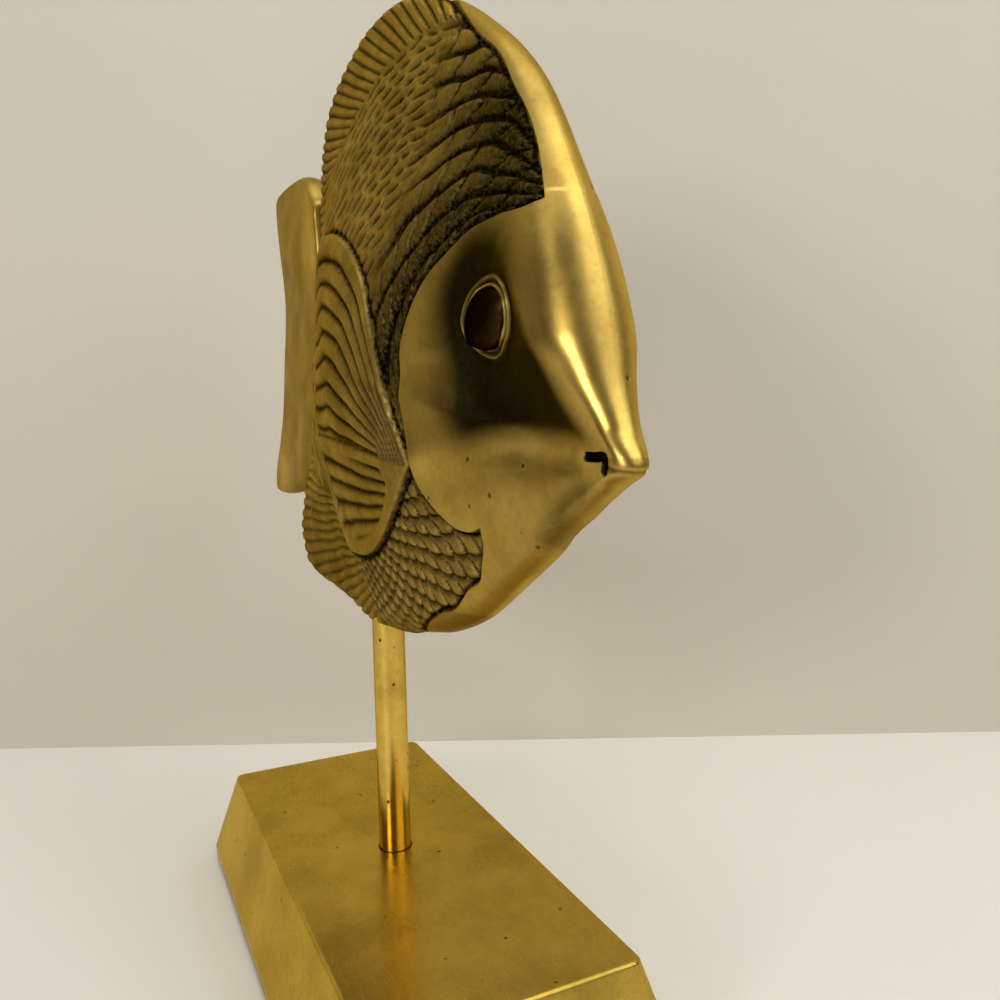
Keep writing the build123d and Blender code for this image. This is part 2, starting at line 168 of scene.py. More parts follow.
fish = {
    "crown": (10.0, 149.3),
    "reach": 75.0,
    "depth": 16.0,
    "rimRows": 0.93,
    "cells": 400,
    "columns": (0.0, 0.30, 0.55, 0.75, 0.90, 1.0),
    "rimSlope": 0.6,  # how much of the last stretch's slope is left at the rim
    # angle, reach, half thickness at the rim and at 0.90, 0.75, 0.55 and 0.30 of the reach
    "rays": [
        (-11, 1.337, 0.16, 0.24, 0.37, 0.75, 0.98),
        (-8, 1.290, 0.21, 0.28, 0.39, 0.75, 0.98),
        (-4, 1.243, 0.30, 0.36, 0.48, 0.78, 0.98),
        (0, 1.217, 0.37, 0.46, 0.60, 0.82, 0.98),
        (9, 1.173, 0.32, 0.45, 0.63, 0.84, 0.98),
        (19, 1.123, 0.26, 0.36, 0.56, 0.81, 0.97),
        (30, 1.090, 0.22, 0.30, 0.48, 0.75, 0.95),
        (47, 1.025, 0.19, 0.25, 0.40, 0.69, 0.94),
        (65, 1.000, 0.16, 0.22, 0.36, 0.63, 0.91),
        (85, 1.003, 0.16, 0.21, 0.35, 0.61, 0.90),
        (104, 1.020, 0.16, 0.21, 0.35, 0.60, 0.89),
        (120, 1.045, 0.16, 0.20, 0.33, 0.57, 0.88),
        (131, 0.990, 0.16, 0.20, 0.31, 0.56, 0.86),
        (146, 0.860, 0.16, 0.20, 0.31, 0.56, 0.85),
        (160, 0.900, 0.16, 0.21, 0.33, 0.58, 0.85),
        (178, 0.965, 0.16, 0.21, 0.34, 0.59, 0.85),
        (193, 1.080, 0.16, 0.20, 0.31, 0.54, 0.84),
        (204, 1.235, 0.16, 0.19, 0.29, 0.50, 0.83),
        (210, 1.385, 0.16, 0.19, 0.28, 0.47, 0.82),
        (215, 1.375, 0.16, 0.19, 0.28, 0.47, 0.82),
        (221, 1.260, 0.16, 0.19, 0.28, 0.48, 0.83),
        (230, 1.090, 0.16, 0.19, 0.29, 0.52, 0.85),
        (242, 0.960, 0.18, 0.23, 0.35, 0.58, 0.88),
        (256, 0.893, 0.24, 0.34, 0.46, 0.66, 0.91),
        (272, 0.841, 0.29, 0.42, 0.53, 0.74, 0.95),
        (288, 0.836, 0.27, 0.40, 0.56, 0.79, 0.97),
        (302, 0.877, 0.24, 0.38, 0.58, 0.81, 0.98),
        (314, 0.932, 0.23, 0.37, 0.59, 0.82, 0.98),
        (326, 1.000, 0.22, 0.36, 0.58, 0.82, 0.98),
        (337, 1.108, 0.20, 0.32, 0.53, 0.79, 0.98),
        (343, 1.204, 0.18, 0.29, 0.46, 0.77, 0.98),
        (347, 1.290, 0.17, 0.26, 0.40, 0.76, 0.98),
    ],
}


def discFromGrid(a, b):
    # spreads a square grid evenly over a disc: share of the way out, and the angle in degrees
    out = np.maximum(abs(a), abs(b))
    wide = abs(a) >= abs(b)
    turn = np.where(wide, 45 * b / np.where(a == 0, 1, a), 90 - 45 * a / np.where(b == 0, 1, b))
    return out, turn + np.where(np.where(wide, a < 0, b < 0), 180, 0)


def spreadOut(shape, rays, out, turn):
    # x and z of the grid over a rayed outline, with rows to spare where the rim rolls over
    reach = roundTheRays(turn, rays[:, 0], rays[:, 1]) * shape["reach"]
    rim = roundTheRays(turn, rays[:, 0], rays[:, 2]) * shape["depth"]
    roll = np.clip((out - shape["rimRows"]) / (1 - shape["rimRows"]), 0, 1) * math.pi / 2
    far = np.minimum(out / shape["rimRows"], 1) * (reach - rim) + rim * np.sin(roll)
    angle = np.radians(turn)
    return shape["crown"][0] + far * np.cos(angle), shape["crown"][1] + far * np.sin(angle)


def bodyDepth(x, z):
    rays = np.array(fish["rays"], float)
    dx = x - fish["crown"][0]
    dz = z - fish["crown"][1]
    far = np.hypot(dx, dz)
    turn = np.degrees(np.arctan2(dz, dx))
    reach = roundTheRays(turn, rays[:, 0], rays[:, 1]) * fish["reach"]
    depths = [np.full(x.shape, fish["depth"])]
    for column in (6, 5, 4, 3, 2):
        depths.append(roundTheRays(turn, rays[:, 0], rays[:, column]) * fish["depth"])
    rim = depths[5]
    places = fish["columns"]
    slopes = [np.zeros(x.shape)]
    for k in range(1, 5):
        slopes.append((depths[k + 1] - depths[k - 1]) / (places[k + 1] - places[k - 1]))
    slopes.append(fish["rimSlope"] * (depths[5] - depths[4]) / (places[5] - places[4]))
    share = far / reach
    thick = np.array(rim)
    for k in range(5):
        step = places[k + 1] - places[k]
        u = np.clip((share - places[k]) / step, 0, 1)
        bent = (1 + 2 * u) * (1 - u) ** 2 * depths[k] + u * (1 - u) ** 2 * step * slopes[k]
        bent = bent + u * u * (3 - 2 * u) * depths[k + 1] + u * u * (u - 1) * step * slopes[k + 1]
        thick = np.where((share >= places[k]) & (share <= places[k + 1]), bent, thick)
    roll = np.clip((far - reach + rim) / rim, 0, 1)
    return thick * np.sqrt(1 - roll * roll)


# Lines of the relief, placed on the side view

lines = {
    "field": [(20, 232), (30, 223), (44, 217), (55, 210), (66, 201), (74, 195), (80, 188), (84, 183),
              (87, 178), (89, 174), (91.5, 168.5)],
    "gill": [(91.5, 168.5), (87, 168), (81, 168), (74, 167), (68, 164), (63, 161), (58, 156), (54, 150),
             (53, 144), (52.5, 137), (52, 128.5)],
    "throat": [(52, 128.5), (53.7, 124.5), (57.3, 120.8), (61.2, 118.4), (64.5, 117.3), (68.1, 117.4),
               (71, 118.5)],
    "chest": [(71, 118.5), (70.6, 115), (68.5, 111.4), (66.2, 108), (61.3, 105.4), (54.6, 100.6),
              (47.5, 98.2), (37.4, 93.3), (29, 88.5), (22, 80)],
    "finFront": [(-8, 171), (-4.4, 177.5), (5, 178), (15.2, 175.5), (27.2, 169.8), (34.8, 163.2),
                 (38.6, 157.5), (41.4, 152), (43.8, 146.3), (45.9, 141.5), (48, 136), (51.7, 128.2)],
    "finRear": [(-8, 171), (-5.5, 160), (-6, 145), (-8, 132)],
    "finLow": [(-8, 132), (5.8, 131.7), (21.7, 130.9), (30.7, 129.8), (39, 129)],
    "fanTop": [(-8, 132), (5.8, 131.7), (21.7, 130.9), (30.7, 129.8), (39, 129), (51.7, 128.2)],
    "fanFront": [(51.7, 128.2), (47.1, 123.8), (41.4, 118.8), (33.5, 113.2), (25, 109), (17, 106.2),
                 (8, 104.6), (-4, 104.4), (-11, 107)],
    "fanRear": [(-11, 107), (-13, 113), (-11, 124), (-8, 132)],
    "fanInner": [(38.5, 127.6), (41, 124.6), (38.8, 120.4), (33.4, 115.7), (24.6, 111.6), (13.1, 108.6),
                 (0, 108), (-9, 110)],
    "back": [(60, 205.5), (50, 208.5), (40, 210), (30, 210.2), (21, 209.8), (14, 208), (5, 204.6),
             (-6, 199.5), (-20, 194), (-35, 187), (-50, 178), (-66, 169)],
    "crown": [(98, 166), (96, 174), (93.5, 181.5), (89.4, 190), (83, 196), (72, 201.8), (60, 205.5),
              (40, 210), (21, 209.8), (14, 208), (5, 204.6), (-6, 199.5), (-20, 194), (-35, 187),
              (-50, 178), (-66, 169)],
    "belly": [(16, 84), (10, 92), (4, 99), (2, 106), (-8, 112), (-24, 117), (-44, 121), (-62, 130)],
    "crease": [(99.2, 131.8), (94.4, 132.5), (88.2, 133), (81.9, 133.5), (75.6, 132.7), (69.3, 131.5),
               (64.4, 130.7), (57.9, 129.5), (52, 127.8)],
    "cheek": [(81.7, 164.2), (75.5, 164.6), (71.3, 161.2), (68.6, 156.2), (67.8, 148.9), (67.4, 141.5),
              (68, 136.5), (70.5, 134.2), (74.2, 134.2), (80.6, 134), (87.1, 133.1), (93.8, 132.3),
              (98.3, 132.3), (97.8, 135.1), (95.8, 138.9), (93.6, 143.5), (92, 147.4), (89.9, 150.6),
              (87.8, 154.8), (86.3, 158.4), (84.6, 161.7)],
    "brow": [(80, 170), (84.8, 164), (88.8, 157.5), (92, 151.5), (94.4, 146), (96.6, 141), (98.9, 137),
             (101, 133.4)],
    "seam": [(91, 174), (95, 166), (98, 159.5), (100.3, 152.5), (102, 146.5), (103.3, 141), (104.8, 136)],
    "underJaw": [(104.5, 129.2), (98.5, 127), (93.8, 124.2), (89.5, 120), (83, 114.5)],
    "hollow": [(74, 145.5), (74.5, 140.5), (79.5, 137.8), (86, 134.9), (92, 133.6), (97, 132.6)],
    "mouth": [(99.5, 131.65), (102, 131.7), (104.2, 131.75), (104.0, 129.9)],
    "lips": [(104.1, 130.6), (107, 129.9), (110, 129.4)],
}
lines = {name: flowing(points) for name, points in lines.items()}


def joined(*names):
    return np.vstack([lines[name][:-1] for name in names] + [lines[names[-1]][-1:]])


fieldEdge = np.vstack([joined("field", "gill", "throat", "chest"), [(-150, 70), (-150, 240)]])
lowerFin = joined("fanTop", "fanFront", "fanRear")
finEdge = np.vstack([lines["finFront"], joined("fanFront", "fanRear")[1:], lines["finRear"][::-1][1:-1]])
backEdge = np.vstack([lines["back"], [(-110, 190), (-90, 240), (60, 240)]])
bellyEdge = np.vstack([lines["belly"], [(-110, 120), (-120, 60), (20, 60)]])


def inRepeat(count):
    # place within one repeat of a pattern, from -1 to 1
    return 2 * (count - np.floor(count)) - 1


def chance(number, spread=12.9898):
    # a fixed value between -1 and 1 for each scale or ray, from its number
    return np.sin(number * spread)


chestCut = {
    "centre": (-12.0, 150.0),  # the rows run round this place
    "around": 108,  # scales in a full turn
    "row": 0.046,  # from row to row, on a logarithmic scale of the distance
    "tip": 0.056,  # how far a scale's tip reaches, on the same scale
    "sway": (0.16, 9.0, 3),  # here and below a sway is its amount, its size in mm and a seed
    "rowSway": (0.2, 8.0, 5),
    "level": -0.62,
    "rise": 0.42,
    "dome": 0.16,
    "round": 0.45,
    "groove": 0.55,
    "grooveWidth": 0.62,
}


def cutChest(x, z):
    # overlapping lobes whose free edges point away from the centre; each covers the next one out
    s = chestCut
    dx = x - s["centre"][0]
    dz = z - s["centre"][1]
    far = np.hypot(dx, dz) + 0.001
    across = 2 * math.pi / s["around"]
    turn = np.arctan2(dz, dx) + across * waver(x, z, *s["sway"])
    u = np.log(far) + s["row"] * waver(x, z, *s["rowSway"])
    row = np.floor(u / s["row"])
    ahead = u + 1
    behind = u - 1
    aheadSteep = np.ones(x.shape)
    behindSteep = np.ones(x.shape)
    middle = np.zeros(x.shape)
    number = np.zeros(x.shape)
    found = np.zeros(x.shape, bool)
    for k in range(-3, 3):
        j = row + k
        count = turn / across + 0.5 * (j % 2)
        offset = inRepeat(count)
        edge = j * s["row"] + s["tip"] * (1 - offset ** 2)
        steep = np.sqrt(1 + (4 * s["tip"] * offset / across) ** 2)
        beyond = edge > u
        first = beyond & ~found
        ahead = np.where(first, edge, ahead)
        aheadSteep = np.where(first, steep, aheadSteep)
        middle = np.where(first, offset, middle)
        number = np.where(first, np.floor(count) * 7.3 + j * 3.1, number)
        under = ~beyond & ~found & (edge > behind)
        behind = np.where(under, edge, behind)
        behindSteep = np.where(under, steep, behindSteep)
        found |= beyond
    toTip = (ahead - u) * far / aheadSteep
    fromLast = (u - behind) * far / behindSteep
    along = (u - behind) / (ahead - behind)
    uneven = 0.8 + 0.4 * abs(chance(number))
    rise = s["rise"] * uneven * (0.15 + 0.85 * along) + s["dome"] * (1 - middle ** 2)
    rise = rise * (1 - np.exp(-toTip / s["round"]))
    cut = hump(fromLast, s["grooveWidth"])
    return s["level"] + rise - s["groove"] * cut, cut


scaleCut = {
    "rows": 9,  # between the gill cover and the crown
    "middle": (57.0, 130.0),  # along a row, scales are counted by the turn round this place
    "radius": 50,
    "length": 7.8,
    "height": 4.8,
    "lean": 2.0,
    "round": 1.6,
    "stagger": 0.41,
    "rowSway": (0.16, 7.0, 41),
    "endSway": (1.0, 6.0, 42),
    "level": -0.62,
    "dome": 0.22,
    "rise": 0.26,
    "uneven": 0.22,
    "tooling": (0.07, 1.6, 43),
    "groove": 0.62,
    "topCut": 0.42,
    "lowCut": 0.3,
    "endCut": 0.4,
    "border": (-34, -4),  # the cuts widen towards the edge of the field, from this far inside it
    "widen": 0.55,
}


def frontScales(x, z, share):
    # broad scales whose dark cuts widen towards the forehead; the ends are staggered from row to row
    s = scaleCut
    turn = np.arctan2(z - s["middle"][1], x - s["middle"][0])
    rows = share * s["rows"] + waver(x, z, *s["rowSway"])
    row = np.floor(rows)
    up = rows - row
    ahead = -turn * s["radius"] - s["lean"] * up + waver(x, z, *s["endSway"])
    ahead = ahead + s["round"] * (2 * up - 1.1) ** 2
    count = ahead / s["length"] + s["stagger"] * row + 0.3 * chance(row, 2.3)
    offset = count - np.floor(count)
    uneven = 0.5 + 0.5 * chance(np.floor(count) * 7.3 + row * 3.1)
    toFront = (1 - offset) * s["length"]
    nearBorder = stepUp(-depthInside(fieldEdge, x, z, 40), *s["border"])
    wide = 0.30 + s["widen"] * nearBorder
    top = hump(np.maximum((1 - up) * s["height"] - wide, 0), s["topCut"])
    low = hump(up * s["height"], s["lowCut"])
    end = hump(np.maximum(toFront - 0.1 - 0.5 * nearBorder, 0), s["endCut"])
    end = end + hump(offset * s["length"], s["lowCut"])
    end = end * (0.2 + 0.8 * stepUp(nearBorder, 0.45, 0.8))
    groove = np.clip(np.maximum(np.maximum(top, low), end), 0, 1)
    lobe = s["dome"] * (1 - (2 * up - 0.8) ** 2) + s["rise"] * offset + s["uneven"] * (uneven - 0.5)
    lobe = lobe + waver(x, z, *s["tooling"])
    return s["level"] + lobe * (1 - groove) - s["groove"] * groove * (0.55 + 0.45 * nearBorder), groove


ridgeCut = {"rows": 25, "rowSway": (0.30, 7.0, 44), "rowTremble": (0.10, 2.5, 47), "dash": 7.4,
            "slope": 0.35, "slopeFrom": 180, "dashSway": (2.2, 5.0, 45), "across": 2.2, "level": -0.42,
            "ridge": 0.14, "dashDepth": 0.40, "seamDepth": 0.14}


def rearRidges(x, z, share):
    # fine ridges with short dashes cut between them
    s = ridgeCut
    rows = share * s["rows"] + waver(x, z, *s["rowSway"]) + waver(x, z, *s["rowTremble"])
    row = np.floor(rows)
    up = rows - row
    along = (x + s["slope"] * (z - s["slopeFrom"]) + waver(x, z, *s["dashSway"])) / s["dash"]
    dashes = along + 0.5 * (row % 2) + 0.13 * (row % 3)
    place = abs(inRepeat(dashes))
    dash = hump((up - 0.5) * s["across"], 0.30 + 0.25 * (1 - place)) * (1 - stepUp(place, 0.5, 1.0))
    seam = hump((0.5 - abs(up - 0.5)) * s["across"], 0.28) * (0.35 + 0.65 * stepUp(place, 0.3, 0.9))
    ridge = s["ridge"] * np.cos((up - 0.5) * 2 * math.pi)
    height = s["level"] - ridge - s["dashDepth"] * dash - s["seamDepth"] * seam
    return height, np.clip(0.9 * dash + 0.35 * seam, 0, 1)


# where the broad scales give way to the fine ridges, along a line that leans back
handOver = {"from": 42, "to": 58, "atHeight": 190, "lean": 0.25, "sway": (4, 9.0, 46)}


def cutRows(x, z):
    # rows that run round the gill cover and flatten towards the back
    toGill, _ = distanceTo(lines["gill"], x, z, 180)
    toBack, _ = distanceTo(lines["crown"], x, z, 180)
    share = toGill / (toGill + toBack + 0.001)
    front, grooves = frontScales(x, z, share)
    rear, dashes = rearRidges(x, z, share)
    place = x + handOver["lean"] * (handOver["atHeight"] - z) + waver(x, z, *handOver["sway"])
    isFront = stepUp(place, handOver["from"], handOver["to"])
    return front * isFront + rear * (1 - isFront), grooves * isFront + dashes * (1 - isFront)


rayCut = {"level": -0.30, "land": 0.22, "groove": 0.62, "width": 0.40, "sway": (0.006, 12.0, 8),
          "tooling": (0.08, 3.0, 9)}
backRays = {"source": (73, 184), "start": 2.15, "turn": 1, "near": 8.0, "growth": 20.0, "dark": 0.85}
bellyRays = {"source": (70, 118), "start": 4.05, "turn": -1, "near": 8.0, "growth": 20.0, "dark": 0.5525}


def cutRays(x, z, fan, atRim):
    # straight grooves fanning back across a fin from a source out in front of it, shallow at the rim
    s = rayCut
    angle = np.arctan2(z - fan["source"][1], x - fan["source"][0])
    angle = np.where(angle < 0, angle + 2 * math.pi, angle) - fan["start"]
    angle = angle * fan["turn"] + waver(x, z, *s["sway"])
    count = fan["near"] * angle + fan["growth"] * angle ** 2
    offset = inRepeat(count)
    cut = hump(offset, s["width"] * (0.8 + 0.4 * abs(chance(np.floor(count), 5.1))))
    land = s["land"] * (1 - abs(abs(offset) - 0.62) * 2) + waver(x, z, *s["tooling"])
    return s["level"] + (land - s["groove"] * cut) * atRim, fan["dark"] * cut


upperCut = {"grooves": 8.5, "sway": (0.10, 9.0, 21), "level": 0.20, "ridge": 0.12, "groove": 0.55,
            "width": 0.34}


def upperLobe(x, z):
    # nested grooves that meet at the fin's root
    s = upperCut
    toFront, _ = distanceTo(lines["finFront"], x, z, 70)
    toLow, _ = distanceTo(lines["finLow"], x, z, 70)
    share = toFront / (toFront + toLow + 0.001)
    count = share * s["grooves"] + waver(x, z, *s["sway"])
    offset = inRepeat(count)
    cut = hump(1 - abs(offset), s["width"]) * stepUp(share, 0.055, 0.08)
    ridge = s["ridge"] * np.cos(offset * math.pi) * stepUp(share, 0.1, 0.14)
    return s["level"] + ridge - s["groove"] * cut, cut


lowerCut = {"source": (75, 121.5), "ray": 3.9, "sway": (0.35, 7.0, 22), "crescent": 0.30, "sink": 0.42,
            "ridge": 0.18, "groove": 0.42, "width": 0.42}


def lowerLobe(x, z):
    # a fan of rays inside a raised crescent
    s = lowerCut
    inner = depthInside(np.vstack([lines["fanInner"], [(-9, 131.5)]]), x, z, 40)
    spread = np.degrees(np.arctan2(z - s["source"][1], s["source"][0] - x)) + waver(x, z, *s["sway"])
    offset = inRepeat(spread / s["ray"])
    cut = hump(1 - abs(offset), s["width"]) * stepUp(inner, 0.0, 1.2)
    height = s["crescent"] - s["sink"] * stepUp(inner, -0.3, 0.9)
    height = height + s["ridge"] * (1 - offset ** 2) * stepUp(inner, 0, 1)
    return height - s["groove"] * cut, cut


def finRelief(x, z):
    # the breast fin's two lobes, with a dark ledge between them
    upper, upperDark = upperLobe(x, z)
    lower, lowerDark = lowerLobe(x, z)
    isLower = stepUp(depthInside(lowerFin, x, z, 40), -0.3, 0.3)
    dark = np.maximum(upperDark * (1 - isLower), lowerDark * isLower)
    gap, _ = distanceTo(lines["finLow"], x, z, 12)
    ledge = hump(gap - 0.6, 0.5) * (1 - isLower)
    return upper * (1 - isLower) + lower * isLower - 0.35 * ledge, np.maximum(dark, 0.8 * ledge)


faceCut = {
    "cheek": 0.9,  # depth of the hollow round the eye
    "trough": 2.0,  # more depth along its lower edge, broad behind and narrow at the mouth
    "troughWidth": 8.5,
    "troughNarrows": 4.5,
    "troughFades": 0.40,
    "shelf": 1.4,  # the jaw stands out under the crease
    "shelfReach": 14.0,
    "brow": 1.0,
    "browAhead": 7.0,
    "browBehind": 3.2,
    "slot": 1.5,
    "slotShare": 0.6,  # the most of the flank's depth there that the slot may take
    "slotEdge": (0.50, 0.74),  # distance from the mouth's line where the slot ends, and then its painted shade
    "slotShadeEdge": (0.66, 0.84),
    "lip": 0.25,
    "lipWidth": 0.35,
    "hollowDark": 0.98,
}
faceStrokes = {
    # height, width, darkness and its width, and the shares of the length over which each end fades
    "seam": (-0.14, 1.3, 0.24, 0.9, 0.3, 0.2),
    # the darkness along the underJaw line is painted shade under the chin
    "underJaw": (-0.4, 2.2, 0.36, 2.2, 0.3, 0.2),
}


def faceRelief(x, z):
    # height, slot and darkness of the face: a hollow round the eye, the brow, the jaw's shelf and the mouth
    s = faceCut
    inCheek = depthInside(lines["cheek"], x, z, 20)
    gap, along = distanceTo(lines["crease"], x, z, 30)
    below = insideOf(np.vstack([lines["crease"], [(50, 100), (130, 100), (130, 131.6)]]), x, z)
    side = np.where(below, gap, -gap)
    above = stepUp(-side, -0.5, 3.5)
    shelf = stepUp(side, -3.0, 4.0) * np.exp(-np.maximum(side - 2, 0) / s["shelfReach"])
    gap, place = distanceTo(lines["hollow"], x, z, 30)
    trough = hump(gap, s["troughWidth"] - s["troughNarrows"] * place) * (1 - s["troughFades"] * place)
    h = -s["cheek"] * stepUp(inCheek, -2.0, 6.0) - s["trough"] * trough
    h += s["shelf"] * shelf * stepUp(1 - along, 0, 0.6) * (1 - stepUp(x, 80, 103))
    gap, place = distanceTo(lines["brow"], x, z, 20)
    ahead = insideOf(np.vstack([lines["brow"], [(130, 133), (130, 170)]]), x, z)
    brow = hump(gap, np.where(ahead, s["browAhead"], s["browBehind"]))
    h += s["brow"] * brow * stepUp(place, 0, 0.4) * stepUp(1 - place, 0, 0.35)
    # painted shade: black in the hollow round the eye, and thinner veils of painted shade behind the eye,
    # above it, below it and on the jaw
    dark = s["hollowDark"] * stepUp(inCheek, -6.5, 2.0) * above
    for veil in (0.34 * stepUp(92 - x, 0, 14) * above,
                 0.30 * stepUp(z, 156, 166) * stepUp(96 - x, 0, 12),
                 0.30 * stepUp(146 - z, 0, 14) * stepUp(90 - x, 0, 16) * above,
                 0.32 * stepUp(side, 0, 6)):
        dark = dark + veil * (1 - dark)
    for name, (rise, wide, tone, toneWide, fadeIn, fadeOut) in faceStrokes.items():
        gap, place = distanceTo(lines[name], x, z, 20)
        shown = stepUp(place, 0, fadeIn) * stepUp(1 - place, 0, fadeOut)
        h += rise * hump(gap, wide) * shown
        dark += tone * hump(gap, toneWide) * shown
    gap, _ = distanceTo(lines["mouth"], x, z, 5)
    slot = 1 - stepUp(gap, *s["slotEdge"])
    # painted shade inside the mouth's slot, black to a little past its edge
    slotShade = 1 - stepUp(gap, *s["slotShadeEdge"])
    gap, _ = distanceTo(lines["lips"], x, z, 5)
    lip = hump(gap, s["lipWidth"]) * (1 - slotShade)
    dark = np.clip(dark, 0, s["hollowDark"]) * (1 - slotShade) + slotShade + 0.4 * lip
    return h - s["lip"] * lip, s["slot"] * slot, dark


eyeRim = {
    "centre": (78.5, 152.4),
    "half": (7.2, 6.1),
    "tilt": 42.0,
    "rise": 0.55,
    "width": 0.30,
    "gap": 1.25,  # from the outer ring to the inner one
    "innerWidth": 0.26,
    "sway": (0.25, 3.0, 31),
    "outerSway": (0.35, 3.5, 32),
    "innerSway": (0.4, 2.2, 33),
    "moat": 0.3,
    "seat": 1.9,
    "shadeWidth": 1.9,
}


def eyeSpread(x, z):
    # distance from the eye's middle, measured as if its oval were round
    e = eyeRim
    tilt = math.radians(e["tilt"])
    dx = x - e["centre"][0]
    dz = z - e["centre"][1]
    a = (dx * math.cos(tilt) + dz * math.sin(tilt)) / e["half"][0]
    b = (dz * math.cos(tilt) - dx * math.sin(tilt)) / e["half"][1]
    return np.hypot(a, b) * sum(e["half"]) / 2


def eyeRelief(x, z):
    # height, darkness and bare metal of two thin uneven rings round the seat of the domed inlay
    e = eyeRim
    size = sum(e["half"]) / 2
    out = eyeSpread(x, z) + waver(x, z, *e["sway"])
    outer = hump(out - size + 0.1, e["width"]) * (0.75 + waver(x, z, *e["outerSway"]))
    inner = hump(out - size + e["gap"], e["innerWidth"]) * (0.8 + waver(x, z, *e["innerSway"]))
    moat = hump(out - size - 0.7, 0.6) + hump(out - size + 0.65, 0.3)
    seat = 1 - stepUp(out, size - e["gap"] - 0.55, size - e["gap"] - 0.2)
    dark = np.clip(1.25 * hump(np.maximum(out - size + 1.0, 0), e["shadeWidth"]), 0, 1)
    bare = np.clip(0.62 * outer + 0.72 * inner, 0, 0.75)
    return e["rise"] * (outer + 0.8 * inner) - e["moat"] * moat - e["seat"] * seat, dark, bare


pits = {"depth": 0.3, "places": [(95.4, 129.5, 0.35), (90, 121, 0.3)]}
fieldCut = {
    # in this dictionary a pair is where something starts and where it is complete
    "border": (0.0, 0.5),  # distances inside an outline, in mm
    "breastBorder": (-0.25, 0.25),
    "finBorder": (-0.5, 0.8),
    "chestTop": 130.0,  # the chest's scales lie below a line that starts here and leans
    "chestLean": 0.2,
    "chestBorder": (4, 9),
    "rim": (1.5, 3.1),  # half thickness of the flank, where the fins' grooves come to their full depth
    "edge": 0.35,
    "edgeWidth": 0.45,
    "moat": 0.45,
    "moatWidth": 0.7,
    "shade": 0.80,  # darker behind the field's edge, but not at the top and the foot
    "shadeInside": (-34, -3),
    "shadeTop": (-208, -186),
    "shadeFoot": (120, 150),
    "dull": 0.06,
    # the chest's scales are laid darker than the rest of the field
    "chestDarker": 0.26,
}


def sculpt(x, z):
    # height above the plain flank and how dark the patina and painted shade lie, everywhere on the side
    # view
    s = fieldCut
    inField = depthInside(fieldEdge, x, z, 40)
    finDepth = depthInside(finEdge, x, z, 20)
    field = stepUp(inField, *s["border"])
    onFin = stepUp(finDepth, *s["breastBorder"])
    atRim = 0.10 + 0.90 * stepUp(bodyDepth(x, z), *s["rim"])
    isChest = stepUp(s["chestTop"] - z + s["chestLean"] * x, *s["chestBorder"])
    isBack = stepUp(depthInside(backEdge, x, z, 12), *s["finBorder"])
    isBelly = stepUp(depthInside(bellyEdge, x, z, 12), *s["finBorder"])
    cut, dark = cutRows(x, z)
    for (other, otherDark), there in ((cutChest(x, z), isChest),
                                      (cutRays(x, z, backRays, atRim), isBack),
                                      (cutRays(x, z, bellyRays, atRim), isBelly)):
        cut = cut * (1 - there) + other * there
        dark = dark * (1 - there) + otherDark * there
    shade = stepUp(-inField, *s["shadeInside"]) * stepUp(-z, *s["shadeTop"]) * stepUp(z, *s["shadeFoot"])
    dark = dark + (s["shade"] * shade + s["dull"] + s["chestDarker"] * isChest) * (1 - dark)
    edge = hump(inField - 0.5, s["edgeWidth"]) * (inField > -1)
    moat = hump(finDepth + 0.7, s["moatWidth"])
    cut = cut - s["edge"] * edge - s["moat"] * moat
    dark = np.clip(dark + edge + 0.8 * moat, 0, 1)
    fin, finDark = finRelief(x, z)
    face, slot, faceDark = faceRelief(x, z)
    eye, eyeDark, eyeBare = eyeRelief(x, z)
    h = face * (1 - field) + eye + (cut * (1 - onFin) + fin * onFin) * field
    for px, pz, size in pits["places"]:
        h -= pits["depth"] * hump(np.hypot(x - px, z - pz), size)
    faceDark = (faceDark + eyeDark * (1 - faceDark)) * (1 - eyeBare)
    dark = (dark * (1 - onFin) + (0.2 + 0.8 * finDark) * onFin) * field + faceDark * (1 - field)
    return h, slot * (1 - field), np.clip(dark, 0, 1), inField, finDepth


print("stage: relief lines ready")


def gridAt(cells):
    bm = bmesh.new()
    bmesh.ops.create_grid(bm, x_segments=cells, y_segments=cells, size=1.0)
    return bm


def readPlaces(bm):
    return np.array([v.co for v in bm.verts])


def cutAlong(bm, values):
    # new edges along the zero line of a value known at every vertex
    bm.edges.ensure_lookup_table()
    fresh = []
    for edge in list(bm.edges):
        a = values[edge.verts[0].index]
        b = values[edge.verts[1].index]
        if a * b < 0:
            fresh.append((edge, edge.verts[0], a / (a - b)))
    made = [bmesh.utils.edge_split(edge, vert, share)[1] for edge, vert, share in fresh]
    bmesh.ops.connect_verts(bm, verts=made)
    bm.verts.index_update()


def setPlaces(bm, places):
    for vert, place in zip(bm.verts, places):
        vert.co = place


# in metres: higher than this gets a wall, lower counts as on the seam plane, closer is merged
seam = {"wall": 1e-6, "onPlane": 1e-9, "merge": 1e-7}


def closeAtSeam(bm):
    # walls from the open edge down to the seam plane, then one face across it
    bm.normal_update()
    rim = [e for e in bm.edges if e.is_boundary]
    walls = [e for e in rim if max(abs(v.co.y) for v in e.verts) > seam["wall"]]
    if walls:
        made = bmesh.ops.extrude_edge_only(bm, edges=walls)["geom"]
        for vert in [g for g in made if isinstance(g, bmesh.types.BMVert)]:
            vert.co.y = 0
        flat = [v for v in bm.verts if abs(v.co.y) < seam["onPlane"]]
        bmesh.ops.remove_doubles(bm, verts=flat, dist=seam["merge"])
    for edge in rim:
        if edge.is_valid:
            edge.smooth = False
    openEdges = [e for e in bm.edges if e.is_boundary]
    for edge in openEdges:
        edge.smooth = False
    bmesh.ops.holes_fill(bm, edges=openEdges, sides=0)
    bmesh.ops.recalc_face_normals(bm, faces=bm.faces)


def addObject(name, data):
    obj = bpy.data.objects.new(name, data)
    bpy.context.scene.collection.objects.link(obj)
    return obj


